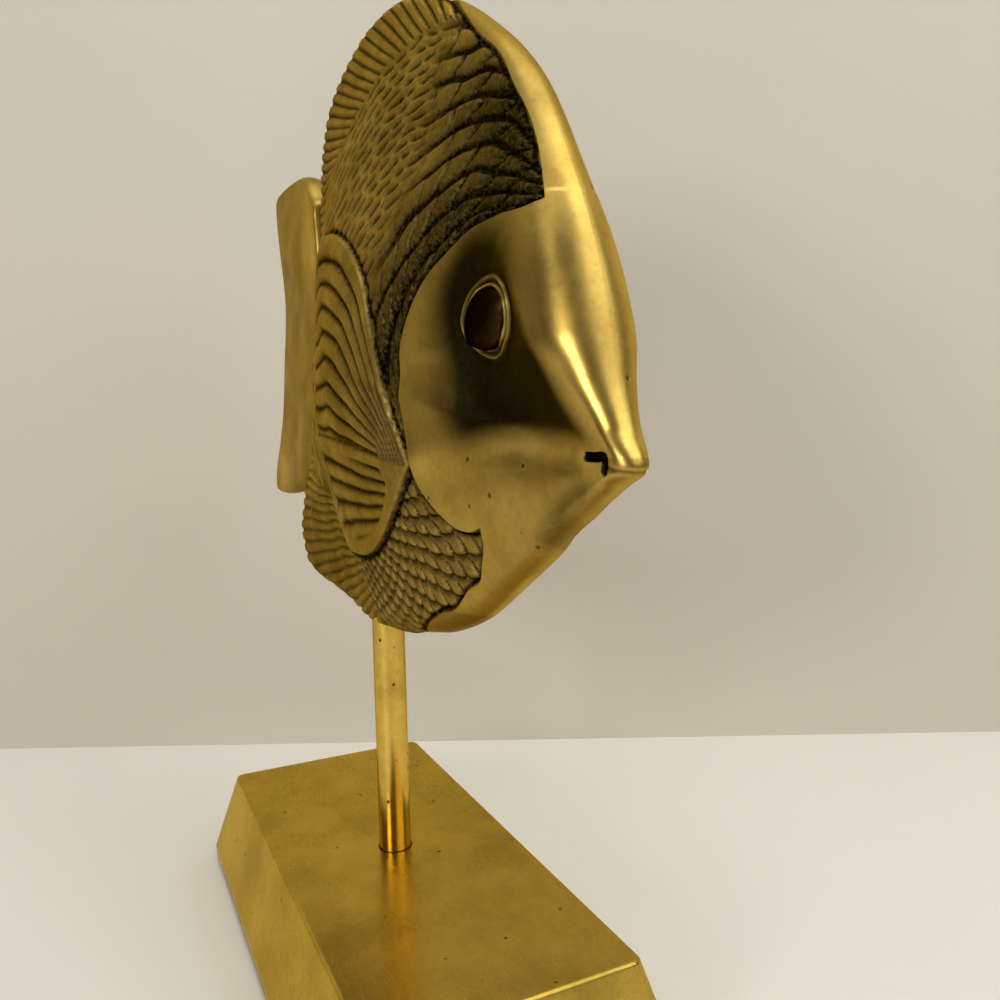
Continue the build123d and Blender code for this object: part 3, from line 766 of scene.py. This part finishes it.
def meshObject(name, bm, material):
    mesh = bpy.data.meshes.new(name)
    bm.to_mesh(mesh)
    mesh.materials.append(material)
    return addObject(name, mesh)


def newPiece(name, bm, material, node):
    for face in bm.faces:
        face.smooth = True
    piece = meshObject(name, bm, material)
    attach(piece, "root")
    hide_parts(node)


def bothSides(name, bm, material, part):
    # the right piece and its mirror image, in place of the two sides of a CAD part
    newPiece("right" + name, bm, material, part.format("right"))
    other = bm.copy()
    bmesh.ops.scale(other, vec=(1, -1, 1), verts=other.verts)
    bmesh.ops.reverse_faces(other, faces=other.faces)
    newPiece("left" + name, other, material, part.format("left"))
    other.free()


# Materials

def addNode(tree, kind, inputs=None, **settings):
    # a node given as an input stands for its first output
    node = tree.nodes.new("ShaderNode" + kind)
    for name, value in settings.items():
        setattr(node, name, value)
    for name, value in (inputs or {}).items():
        if isinstance(value, bpy.types.Node):
            value = value.outputs[0]
        if isinstance(value, bpy.types.NodeSocket):
            tree.links.new(value, node.inputs[name])
        else:
            node.inputs[name].default_value = value
    return node


def newMaterial(name):
    material = bpy.data.materials.new(name)
    material.use_nodes = True
    material.node_tree.nodes.clear()
    return material, material.node_tree


mmPerMetre = (1000, 1000, 1000)
# what the metals share: how softly a tarnished patch ends, and what rubbing and patina add in roughness
metalWear = {"patchEnd": 0.16, "fleckFrom": 0.50, "fleckTo": 0.78, "low": 0.3, "high": 0.7,
             "rubbingAndPaintedHighlight": 0.10, "matt": 0.18}


def metal(name, look):
    # bare metal with blotches of tarnish, fine scratches, casting pits and, where asked, dark patina and
    # painted shade laid on the mesh
    wear = metalWear
    material, tree = newMaterial(name)
    place = addNode(tree, "TexCoord").outputs["Object"]
    inMm = addNode(tree, "Mapping", {"Vector": place, "Scale": mmPerMetre})
    grain = [n * v for n, v in zip(mmPerMetre, look["grain"])]
    along = addNode(tree, "Mapping", {"Vector": place, "Scale": grain})
    blotch = addNode(tree, "TexNoise", {"Vector": inMm, "Scale": 1 / look["blotch"], "Detail": 6.0,
                                        "Roughness": 0.62})
    speck = addNode(tree, "TexNoise", {"Vector": inMm, "Scale": 1 / look["speck"], "Detail": 4.0,
                                       "Roughness": 0.7})
    scratch = addNode(tree, "TexNoise", {"Vector": along, "Scale": 1.0, "Detail": 5.0, "Roughness": 0.65})
    cell = addNode(tree, "TexVoronoi", {"Vector": inMm, "Scale": 1 / look["pitGap"]})
    pit = addNode(tree, "MapRange", {"Value": cell, "From Min": look["pit"] * 0.5, "From Max": look["pit"],
                                     "To Min": 1.0, "To Max": 0.0})
    tarnished = addNode(tree, "MapRange", {"Value": blotch, "From Min": look["clean"] - wear["patchEnd"],
                                           "From Max": look["clean"] + wear["patchEnd"],
                                           "To Max": look["tarnish"]})
    flecked = addNode(tree, "MapRange", {"Value": speck, "From Min": wear["fleckFrom"],
                                         "From Max": wear["fleckTo"], "To Max": look["flecks"]})
    dull = addNode(tree, "MapRange", {"Value": blotch, "From Min": wear["low"], "From Max": wear["high"],
                                      "To Min": look["roughness"][0], "To Max": look["roughness"][1]})
    rubbingAndPaintedHighlight = addNode(tree, "Math", {0: scratch, 1: wear["rubbingAndPaintedHighlight"]}, operation="MULTIPLY")
    rough = addNode(tree, "Math", {0: dull, 1: rubbingAndPaintedHighlight}, operation="ADD")
    dark = addNode(tree, "Math", {0: pit, 1: look["pitDark"]}, operation="MULTIPLY")
    if look["patinaAndShade"]:
        laid = addNode(tree, "Attribute", attribute_name="patinaAndShade").outputs["Fac"]
        uneven = addNode(tree, "MapRange", {"Value": speck, "From Min": wear["low"],
                                            "From Max": wear["high"], "To Min": 1 - look["patchy"],
                                            "To Max": 1 + look["patchy"]})
        laid = addNode(tree, "Math", {0: laid, 1: uneven}, operation="MULTIPLY", use_clamp=True)
        matt = addNode(tree, "Math", {0: laid, 1: wear["matt"]}, operation="MULTIPLY")
        rough = addNode(tree, "Math", {0: matt, 1: rough}, operation="ADD")
        dark = addNode(tree, "Math", {0: dark, 1: laid}, operation="MAXIMUM")
    colour = hexColour(look["colour"])
    for amount, over in ((tarnished, "tarnishColour"), (flecked, "fleckColour"), (dark, "patinaAndShadeColour")):
        colour = addNode(tree, "Mix", {0: amount, 6: colour, 7: hexColour(look[over])},
                         data_type="RGBA").outputs[2]
    scratches = addNode(tree, "Math", {0: scratch, 1: look["scratch"]}, operation="MULTIPLY")
    holes = addNode(tree, "Math", {0: pit, 1: -look["pitDepth"]}, operation="MULTIPLY")
    dents = addNode(tree, "Math", {0: blotch, 1: look["dents"]}, operation="MULTIPLY")
    height = addNode(tree, "Math", {0: scratches, 1: holes}, operation="ADD")
    height = addNode(tree, "Math", {0: height, 1: dents}, operation="ADD")
    bump = addNode(tree, "Bump", {"Height": height, "Distance": mm})
    shader = addNode(tree, "BsdfPrincipled", {"Base Color": colour, "Metallic": 1.0, "Roughness": rough,
                                              "Specular Tint": hexColour(look["edge"]), "Normal": bump})
    addNode(tree, "OutputMaterial", {"Surface": shader})
    return material


# polished by hand after casting: soft pale gold glare, faint brown tarnish, fine rubbing marks, a few pits
polished = metal("handPolishedCastBrass", {
    "colour": "#dcba60", "tarnishColour": "#a07c2c", "fleckColour": "#86661e", "patinaAndShadeColour": "#140f04",
    "edge": "#f2e2b0", "blotch": 11.0, "speck": 1.1, "grain": (0.25, 0.9, 0.6), "pitGap": 7.0, "pit": 0.09,
    "clean": 0.56, "tarnish": 0.55, "flecks": 0.30, "roughness": (0.22, 0.33), "pitDark": 0.8,
    "scratch": 0.008, "pitDepth": 0.10, "dents": 0.10, "patinaAndShade": True, "patchy": 0.01})

# cut with chisels and darkened: olive brown lands, black in the grooves, dull glints on the edges
engraved = metal("engravedPatinatedBrass", {
    "colour": "#cfb062", "tarnishColour": "#8c7431", "fleckColour": "#4e3f18", "patinaAndShadeColour": "#100d05",
    "edge": "#d8c088", "blotch": 9.0, "speck": 0.8, "grain": (0.5, 0.5, 0.5), "pitGap": 4.0, "pit": 0.10,
    "clean": 0.50, "tarnish": 0.70, "flecks": 0.5, "roughness": (0.34, 0.50), "pitDark": 0.7,
    "scratch": 0.03, "pitDepth": 0.05, "dents": 0.15, "patinaAndShade": True, "patchy": 0.20})


def refine(bm, spot, cuts):
    # splits the edges whose two ends both lie in the spot
    edges = [e for e in bm.edges if spot[e.verts[0].index] and spot[e.verts[1].index]]
    bmesh.ops.subdivide_edges(bm, edges=edges, cuts=cuts, use_grid_fill=True)


# darkness laid on each vertex: real patina in the cuts, painted shade on the face, the field's front and
# the mouth, and painted highlights on the tail
def paintPatinaAndShade(bm, shade):
    layer = bm.verts.layers.float.new("patinaAndShade")
    for vert, value in zip(bm.verts, shade):
        vert[layer] = value


# finer mesh round the mouth, finer still at its corner, and along the eye's rings
fineSpots = {"mouth": (103, 131, 5.5), "mouthCorner": (102, 131, 4.2), "eyeRing": 5.4, "eyeRingHalf": 2.4}


def closeTo(places, spot):
    return np.hypot(places[:, 0] - spot[0], places[:, 2] - spot[1]) < spot[2]


def buildFlank():
    rays = np.array(fish["rays"], float)
    bm = gridAt(fish["cells"])
    grid = readPlaces(bm)
    out, turn = discFromGrid(grid[:, 0], grid[:, 1])
    x, z = spreadOut(fish, rays, out, turn)
    setPlaces(bm, np.stack([x, 0 * x, z], 1))
    places = readPlaces(bm)
    fromRing = abs(eyeSpread(places[:, 0], places[:, 2]) - fineSpots["eyeRing"])
    refine(bm, closeTo(places, fineSpots["mouth"]) | (fromRing < fineSpots["eyeRingHalf"]), 1)
    refine(bm, closeTo(readPlaces(bm), fineSpots["mouthCorner"]), 2)
    bm.verts.index_update()
    for outline in (fieldEdge, finEdge, backEdge, bellyEdge):
        places = readPlaces(bm)
        cutAlong(bm, depthInside(outline, places[:, 0], places[:, 2], 5))
    bm.verts.ensure_lookup_table()
    onRim = np.array([v.is_boundary for v in bm.verts])
    places = readPlaces(bm)
    x = places[:, 0]
    z = places[:, 2]
    y = -bodyDepth(x, z)
    y[onRim] = 0
    setPlaces(bm, np.stack([x, y, z], 1) * mm)
    bm.normal_update()
    normals = np.array([v.normal for v in bm.verts])
    if normals[len(normals) // 2, 1] > 0:
        bmesh.ops.reverse_faces(bm, faces=bm.faces)
        normals = -normals
    h, slot, dark, inField, finDepth = sculpt(x, z)
    places = np.stack([x, y, z], 1) + normals * h[:, None]
    # the mouth's slot goes straight in
    places[:, 1] += np.minimum(slot, faceCut["slotShare"] * -places[:, 1])
    places[onRim, 1] = 0
    setPlaces(bm, places * mm)
    paintPatinaAndShade(bm, dark)
    return bm, inField, finDepth


def keepFaces(bm, wanted):
    part = bm.copy()
    part.faces.ensure_lookup_table()
    drop = [face for face, keep in zip(part.faces, wanted) if not keep]
    bmesh.ops.delete(part, geom=drop, context="FACES")
    return part


flank, inField, finDepth = buildFlank()
middles = np.array([f.calc_center_median() for f in flank.faces]) / mm
faceField = np.array([inField[[v.index for v in f.verts]].mean() for f in flank.faces])
faceFin = np.array([finDepth[[v.index for v in f.verts]].mean() for f in flank.faces])
onScales = (faceField >= 0) & (faceFin < 0)
onBack = onScales & insideOf(backEdge, middles[:, 0], middles[:, 2])
onBelly = onScales & insideOf(bellyEdge, middles[:, 0], middles[:, 2])
for name, wanted, material in (("PolishedFace", faceField < 0, polished),
                               ("ScaledFlank", onScales & ~onBack & ~onBelly, engraved),
                               ("BackFinRays", onBack, engraved),
                               ("BellyFinRays", onBelly, engraved),
                               ("PectoralFin", (faceField >= 0) & (faceFin >= 0), engraved)):
    part = keepFaces(flank, wanted)
    closeAtSeam(part)
    triangles = sum(len(f.verts) - 2 for f in part.faces)
    print("stage:", name, "triangles", triangles, "open edges", sum(e.is_boundary for e in part.edges))
    bothSides(name, part, material, "body_{}_shell")
    part.free()
flank.free()

# Eye: a dark oval inlay, domed, with a flattened rim, seated inside the rings

pupil = {"half": (5.75, 4.75), "squared": 0.035, "uneven": 0.02, "dome": 1.3, "sink": 0.95, "rings": 28,
         "wedges": 72, "thick": 1.2, "rimDrop": 0.35, "rimFrom": 0.93, "slopeStep": 0.5}


def buildEye():
    e = eyeRim
    tilt = math.radians(e["tilt"])
    bm = bmesh.new()
    bmesh.ops.create_circle(bm, cap_ends=True, cap_tris=True, radius=1.0, segments=pupil["wedges"])
    spokes = [edge for edge in bm.edges if not edge.is_boundary]
    bmesh.ops.subdivide_edges(bm, edges=spokes, cuts=pupil["rings"])
    flat = readPlaces(bm)
    out = np.hypot(flat[:, 0], flat[:, 1])
    angle = np.arctan2(flat[:, 1], flat[:, 0])
    # an oval that is slightly squared and uneven
    bulge = 1 + pupil["squared"] * np.cos(4 * angle + 0.6) + pupil["uneven"] * np.cos(3 * angle)
    a = flat[:, 0] * pupil["half"][0] * bulge
    b = flat[:, 1] * pupil["half"][1] * bulge
    x = e["centre"][0] + a * math.cos(tilt) - b * math.sin(tilt)
    z = e["centre"][1] + a * math.sin(tilt) + b * math.cos(tilt)
    step = pupil["slopeStep"]
    acrossX = (bodyDepth(x + step, z) - bodyDepth(x - step, z)) / (2 * step)
    acrossZ = (bodyDepth(x, z + step) - bodyDepth(x, z - step)) / (2 * step)
    normals = np.stack([-acrossX, -np.ones(len(x)), -acrossZ], 1)
    normals /= np.linalg.norm(normals, axis=1)[:, None]
    drop = pupil["rimDrop"] * stepUp(out, pupil["rimFrom"], 1.0)
    h = pupil["dome"] * (1 - out ** 2.4) - pupil["sink"] - drop
    places = np.stack([x, -bodyDepth(x, z), z], 1) + normals * h[:, None]
    setPlaces(bm, places * mm)
    rim = [edge for edge in bm.edges if edge.is_boundary]
    made = bmesh.ops.extrude_edge_only(bm, edges=rim)["geom"]
    for vert in [g for g in made if isinstance(g, bmesh.types.BMVert)]:
        vert.co.y += pupil["thick"] * mm
    bmesh.ops.holes_fill(bm, edges=[edge for edge in bm.edges if edge.is_boundary], sides=0)
    bmesh.ops.recalc_face_normals(bm, faces=bm.faces)
    return bm


# brown patina rubbed smooth: a deep glossy brown that catches one small glint
eyeBrown = metal("rubbedBrownPatinaBrass", {
    "colour": "#38260f", "tarnishColour": "#201508", "fleckColour": "#120c05", "patinaAndShadeColour": "#0e0905",
    "edge": "#5a4426", "blotch": 3.5, "speck": 0.7, "grain": (0.8, 0.8, 0.8), "pitGap": 3.0, "pit": 0.08,
    "clean": 0.52, "tarnish": 0.7, "flecks": 0.5, "roughness": (0.26, 0.38), "pitDark": 0.6,
    "scratch": 0.02, "pitDepth": 0.03, "dents": 0.2, "patinaAndShade": False})

eyeMesh = buildEye()
bothSides("EyeInlay", eyeMesh, eyeBrown, "{}_eye")
eyeMesh.free()

# Tail: a flat fan behind the body, the same way from its own middle

tail = {
    "crown": (-75.0, 155.0),
    "reach": 1.0,  # the tail's rays are worked out in mm, so they aren't scaled here
    "depth": 1.0,
    "rimRows": 0.90,
    "cells": 150,
    "rim": 1.7,
    "edgeThick": 1.9,
    "rootThicker": 1.5,
    "thickens": (-115, -60),  # from the tip to the root
    "ridge": 0.5,
    "ridges": 9,
    "ridgeSource": (-30, 152),
    "ridgeFades": (-75, -55),
    "shade": 0.46,
    "rimShade": 0.22,
    "shadeSway": (0.10, 9.0, 61),
    # x, z, half width, half height and strength of the painted highlights, spots laid brighter at the root
    # and the tip
    "rubbingAndPaintedHighlight": [(-50, 188, 9, 16, 0.42), (-106, 118, 14, 9, 0.336)],
    "outline": [(-44, 195.8), (-54.5, 204.8), (-68.7, 207.4), (-86, 207.8), (-91.5, 207.4),
                (-94.2, 204.6), (-93.1, 191.3), (-90.9, 176.3), (-90.9, 159.8), (-94.2, 147.8),
                (-101, 137.3), (-110, 126.8), (-118.2, 117), (-119.8, 112), (-117, 109),
                (-98.7, 109.5), (-80, 112.5), (-61.2, 119.3), (-48, 140), (-42, 160), (-42, 180)],
}


def buildTail():
    line = flowing(tail["outline"] + tail["outline"][:1], 4)[:-1]
    dx = line[:, 0] - tail["crown"][0]
    dz = line[:, 1] - tail["crown"][1]
    angle = np.degrees(np.arctan2(dz, dx)) % 360
    rays = np.stack([angle, np.hypot(dx, dz), np.full(len(dx), tail["rim"])], 1)[np.argsort(angle)]
    bm = gridAt(tail["cells"])
    grid = readPlaces(bm)
    out, turn = discFromGrid(grid[:, 0], grid[:, 1])
    x, z = spreadOut(tail, rays, out, turn)
    reach = roundTheRays(turn, rays[:, 0], rays[:, 1])
    far = np.hypot(x - tail["crown"][0], z - tail["crown"][1])
    roll = np.clip((far - reach + tail["rim"]) / tail["rim"], 0, 1)
    thick = tail["edgeThick"] + tail["rootThicker"] * stepUp(x, *tail["thickens"])
    lobes = np.degrees(np.arctan2(z - tail["ridgeSource"][1], x - tail["ridgeSource"][0])) % 360
    ridge = tail["ridge"] * np.cos(np.radians(lobes - 180) * tail["ridges"])
    ridge = ridge * (1 - stepUp(x, *tail["ridgeFades"]))
    y = -(thick + ridge) * np.sqrt(1 - roll * roll)
    y[out > 0.9999] = 0
    setPlaces(bm, np.stack([x, y, z], 1) * mm)
    bm.normal_update()
    bm.verts.ensure_lookup_table()
    if bm.verts[len(bm.verts) // 2].normal.y > 0:
        bmesh.ops.reverse_faces(bm, faces=bm.faces)
    shade = tail["shade"] + tail["rimShade"] * roll + waver(x, z, *tail["shadeSway"])
    # painted highlights: less darkness where the tail's highlights fall, at the root and the tip
    for px, pz, wide, high, strength in tail["rubbingAndPaintedHighlight"]:
        shade -= strength * hump(np.hypot((x - px) / wide, (z - pz) / high), 1.0)
    paintPatinaAndShade(bm, shade)
    closeAtSeam(bm)
    return bm


tailMesh = buildTail()
bothSides("TailFan", tailMesh, polished, "body_{}_shell")
tailMesh.free()
print("stage: fish ready")

# Base, rod and fastening keep their solids and get the finish of the real ones

# drawn bar, polished lengthwise: sharp streaks of light down it and dark patina in fine pits
rodBrass = metal("drawnPolishedBrassRod", {
    "colour": "#dcb858", "tarnishColour": "#967428", "fleckColour": "#5e4a1c", "patinaAndShadeColour": "#201808",
    "edge": "#f0dca0", "blotch": 8.0, "speck": 0.9, "grain": (2.5, 2.5, 0.06), "pitGap": 5.0, "pit": 0.11,
    "clean": 0.56, "tarnish": 0.45, "flecks": 0.20, "roughness": (0.14, 0.24), "pitDark": 0.85,
    "scratch": 0.008, "pitDepth": 0.10, "dents": 0.05, "patinaAndShade": False})

# cast, ground flat and handled for years: cloudy brown tarnish, long rubbing marks, small pits
baseBrass = metal("groundTarnishedCastBrass", {
    "colour": "#ceae4e", "tarnishColour": "#8c7028", "fleckColour": "#6c5620", "patinaAndShadeColour": "#241c0c",
    "edge": "#f6e6b8", "blotch": 19.0, "speck": 1.4, "grain": (0.05, 1.1, 1.1), "pitGap": 8.0, "pit": 0.07,
    "clean": 0.52, "tarnish": 0.50, "flecks": 0.28, "roughness": (0.17, 0.27), "pitDark": 0.85,
    "scratch": 0.006, "pitDepth": 0.10, "dents": 0.10, "patinaAndShade": False})

# zinc plate over turned steel: cool grey, faintly blotched
zincPlate = metal("zincPlatedTurnedSteel", {
    "colour": "#b9babb", "tarnishColour": "#8d8f8c", "fleckColour": "#6b6a64", "patinaAndShadeColour": "#2a2724",
    "edge": "#ffffff", "blotch": 2.5, "speck": 0.5, "grain": (1.5, 1.5, 1.5), "pitGap": 2.5, "pit": 0.06,
    "clean": 0.50, "tarnish": 0.6, "flecks": 0.4, "roughness": (0.30, 0.45), "pitDark": 0.5,
    "scratch": 0.02, "pitDepth": 0.03, "dents": 0.08, "patinaAndShade": False})


wool = {"colour": "#16301f", "fleckColour": "#2c5238", "wornColour": "#46583f", "fibresPerMm": 2.4,
        "patch": 20.0, "wear": 0.4, "fuzz": 0.4}


def feltMaterial():
    # short pressed wool: no gloss, flecked green, a soft fuzz of light at grazing angles
    material, tree = newMaterial("pressedGreenWoolFelt")
    look = wool
    place = addNode(tree, "TexCoord").outputs["Object"]
    inMm = addNode(tree, "Mapping", {"Vector": place, "Scale": mmPerMetre})
    fibre = addNode(tree, "TexNoise", {"Vector": inMm, "Scale": look["fibresPerMm"], "Detail": 8.0,
                                       "Roughness": 0.75})
    patch = addNode(tree, "TexNoise", {"Vector": inMm, "Scale": 1 / look["patch"], "Detail": 3.0})
    worn = addNode(tree, "MapRange", {"Value": patch, "From Min": 0.45, "From Max": 0.7,
                                      "To Max": look["wear"]})
    flecked = addNode(tree, "Mix", {0: fibre, 6: hexColour(look["colour"]),
                                    7: hexColour(look["fleckColour"])}, data_type="RGBA").outputs[2]
    colour = addNode(tree, "Mix", {0: worn, 6: flecked, 7: hexColour(look["wornColour"])},
                     data_type="RGBA").outputs[2]
    bump = addNode(tree, "Bump", {"Height": fibre, "Strength": 0.7, "Distance": look["fuzz"] * mm})
    shader = addNode(tree, "BsdfPrincipled", {"Base Color": colour, "Roughness": 0.95, "Sheen Weight": 0.4,
                                              "Sheen Roughness": 0.5, "Normal": bump})
    addNode(tree, "OutputMaterial", {"Surface": shader})
    return material


felt = feltMaterial()
finishes = {"stem_rod": rodBrass, "base_casting": baseBrass, "base_washer": zincPlate,
            "lock_washer": zincPlate, "base_nut": zincPlate, "felt_sheet": felt}
for obj in list(bpy.context.scene.objects):
    node = obj.name.split(".")[0]
    if obj.type == "MESH" and node in finishes:
        for slot in obj.material_slots:
            slot.material = finishes[node]
print("stage: finishes laid on the base, rod and fastening")

# Camera, light and stage

camera = {"azimuth": 64.18, "pitch": 6.30, "roll": -1.0, "focalPixels": 883.0, "frame": 1000,
          "sensor": 36.0, "eye": (206.3, -68.3, 139.5), "nearest": 5.0}
cam = addObject("photoCamera", bpy.data.cameras.new("photoCamera"))
cam.data.sensor_width = camera["sensor"]
cam.data.lens = camera["focalPixels"] / camera["frame"] * camera["sensor"]
cam.data.clip_start = camera["nearest"] * mm
turnCam = Matrix.Rotation(math.radians(camera["azimuth"]), 4, "Z")
tiltCam = Matrix.Rotation(math.radians(90 - camera["pitch"]), 4, "X")
rollCam = Matrix.Rotation(math.radians(camera["roll"]), 4, "Z")
cam.matrix_world = Matrix.Translation(Vector(camera["eye"]) * mm) @ turnCam @ tiltCam @ rollCam
bpy.context.scene.camera = cam

stage = {"wallBehind": 354.0, "reach": 900.0, "cloudsPerMetre": 9.0}
wallLook = {"colour": "#dad3c5", "second": "#d6cfc1", "roughness": 0.9, "clearBack": True}
tableLook = {"colour": "#ece8de", "second": "#e7e3d8", "roughness": 0.55, "clearBack": False}


def plainSurface(name, look):
    # smooth paint with a faint unevenness; a wall can be seen through from its back
    material, tree = newMaterial(name)
    place = addNode(tree, "TexCoord").outputs["Object"]
    cloud = addNode(tree, "TexNoise", {"Vector": place, "Scale": stage["cloudsPerMetre"], "Detail": 3.0})
    colour = addNode(tree, "Mix", {0: cloud, 6: hexColour(look["colour"]), 7: hexColour(look["second"])},
                     data_type="RGBA").outputs[2]
    shader = addNode(tree, "BsdfPrincipled", {"Base Color": colour, "Roughness": look["roughness"]})
    if look["clearBack"]:
        clear = addNode(tree, "BsdfTransparent")
        back = addNode(tree, "NewGeometry").outputs["Backfacing"]
        shader = addNode(tree, "MixShader", {0: back, 1: shader, 2: clear})
    addNode(tree, "OutputMaterial", {"Surface": shader})
    return material


def stagePlane(name, matrix, size, material):
    bm = bmesh.new()
    bmesh.ops.create_grid(bm, x_segments=1, y_segments=1, size=size * mm, matrix=matrix)
    meshObject(name, bm, material)
    bm.free()


aim = math.radians(camera["azimuth"])
ahead = Vector((-math.sin(aim), math.cos(aim), 0))
across = Matrix.Rotation(aim, 4, "Z")
wallFoot = Vector((camera["eye"][0], camera["eye"][1], 0)) + ahead * stage["wallBehind"]
wallTurn = Matrix.Translation(wallFoot * mm) @ across @ Matrix.Rotation(math.pi / 2, 4, "X")
stagePlane("paleWall", wallTurn, stage["reach"], plainSurface("rolledWallPaint", wallLook))
tableTurn = Matrix.Translation((wallFoot - ahead * stage["reach"]) * mm) @ across
stagePlane("paleTable", tableTurn, stage["reach"], plainSurface("satinTablePaint", tableLook))

lamps = [
    # name, direction from the fish, distance, size, watts, colour
    ("keyLamp", (0.50, -0.87, 0.22), 700, 220, 1.40, "#fffcf8"),
    ("windowLamp", (0.72, 0.32, 0.60), 800, 700, 2.8, "#ffffff"),
    ("topLamp", (-0.1, -0.5, 1.0), 900, 800, 1.6, "#ffffff"),
    ("ceilingLamp", (0.1, 0.08, 1.0), 900, 800, 5.0, "#ffffff"),
]
lampTarget = Vector((20, 0, 130))
for name, direction, distance, size, watts, colour in lamps:
    light = bpy.data.lights.new(name, "AREA")
    light.shape = "SQUARE"
    light.size = size * mm
    light.energy = watts
    light.color = hexColour(colour)[:3]
    lamp = addObject(name, light)
    way = Vector(direction).normalized()
    facing = way.to_track_quat("Z", "Y").to_matrix().to_4x4()
    lamp.matrix_world = Matrix.Translation((lampTarget + way * distance) * mm) @ facing

# the room: pale all round, and dim on the side that the right flank faces
room = {"pale": "#d3cdc0", "paleLevel": 0.20, "dim": "#8a8272", "dimLevel": 0.25,
        "towards": (0.15, -0.98, -0.10), "from": -0.25, "to": 0.55}
world = bpy.data.worlds.new("quietRoom")
world.use_nodes = True
tree = world.node_tree
tree.nodes.clear()
way = addNode(tree, "TexCoord").outputs["Generated"]
facing = addNode(tree, "VectorMath", {0: way, 1: Vector(room["towards"]).normalized()},
                 operation="DOT_PRODUCT").outputs["Value"]
share = addNode(tree, "MapRange", {"Value": facing, "From Min": room["from"], "From Max": room["to"]},
                interpolation_type="SMOOTHSTEP")
pale = addNode(tree, "Background", {"Color": hexColour(room["pale"]), "Strength": room["paleLevel"]})
dim = addNode(tree, "Background", {"Color": hexColour(room["dim"]), "Strength": room["dimLevel"]})
both = addNode(tree, "MixShader", {0: share, 1: pale, 2: dim})
addNode(tree, "OutputWorld", {"Surface": both})
bpy.context.scene.world = world

bpy.context.scene.view_settings.view_transform = "Standard"
print("stage: camera and light set")
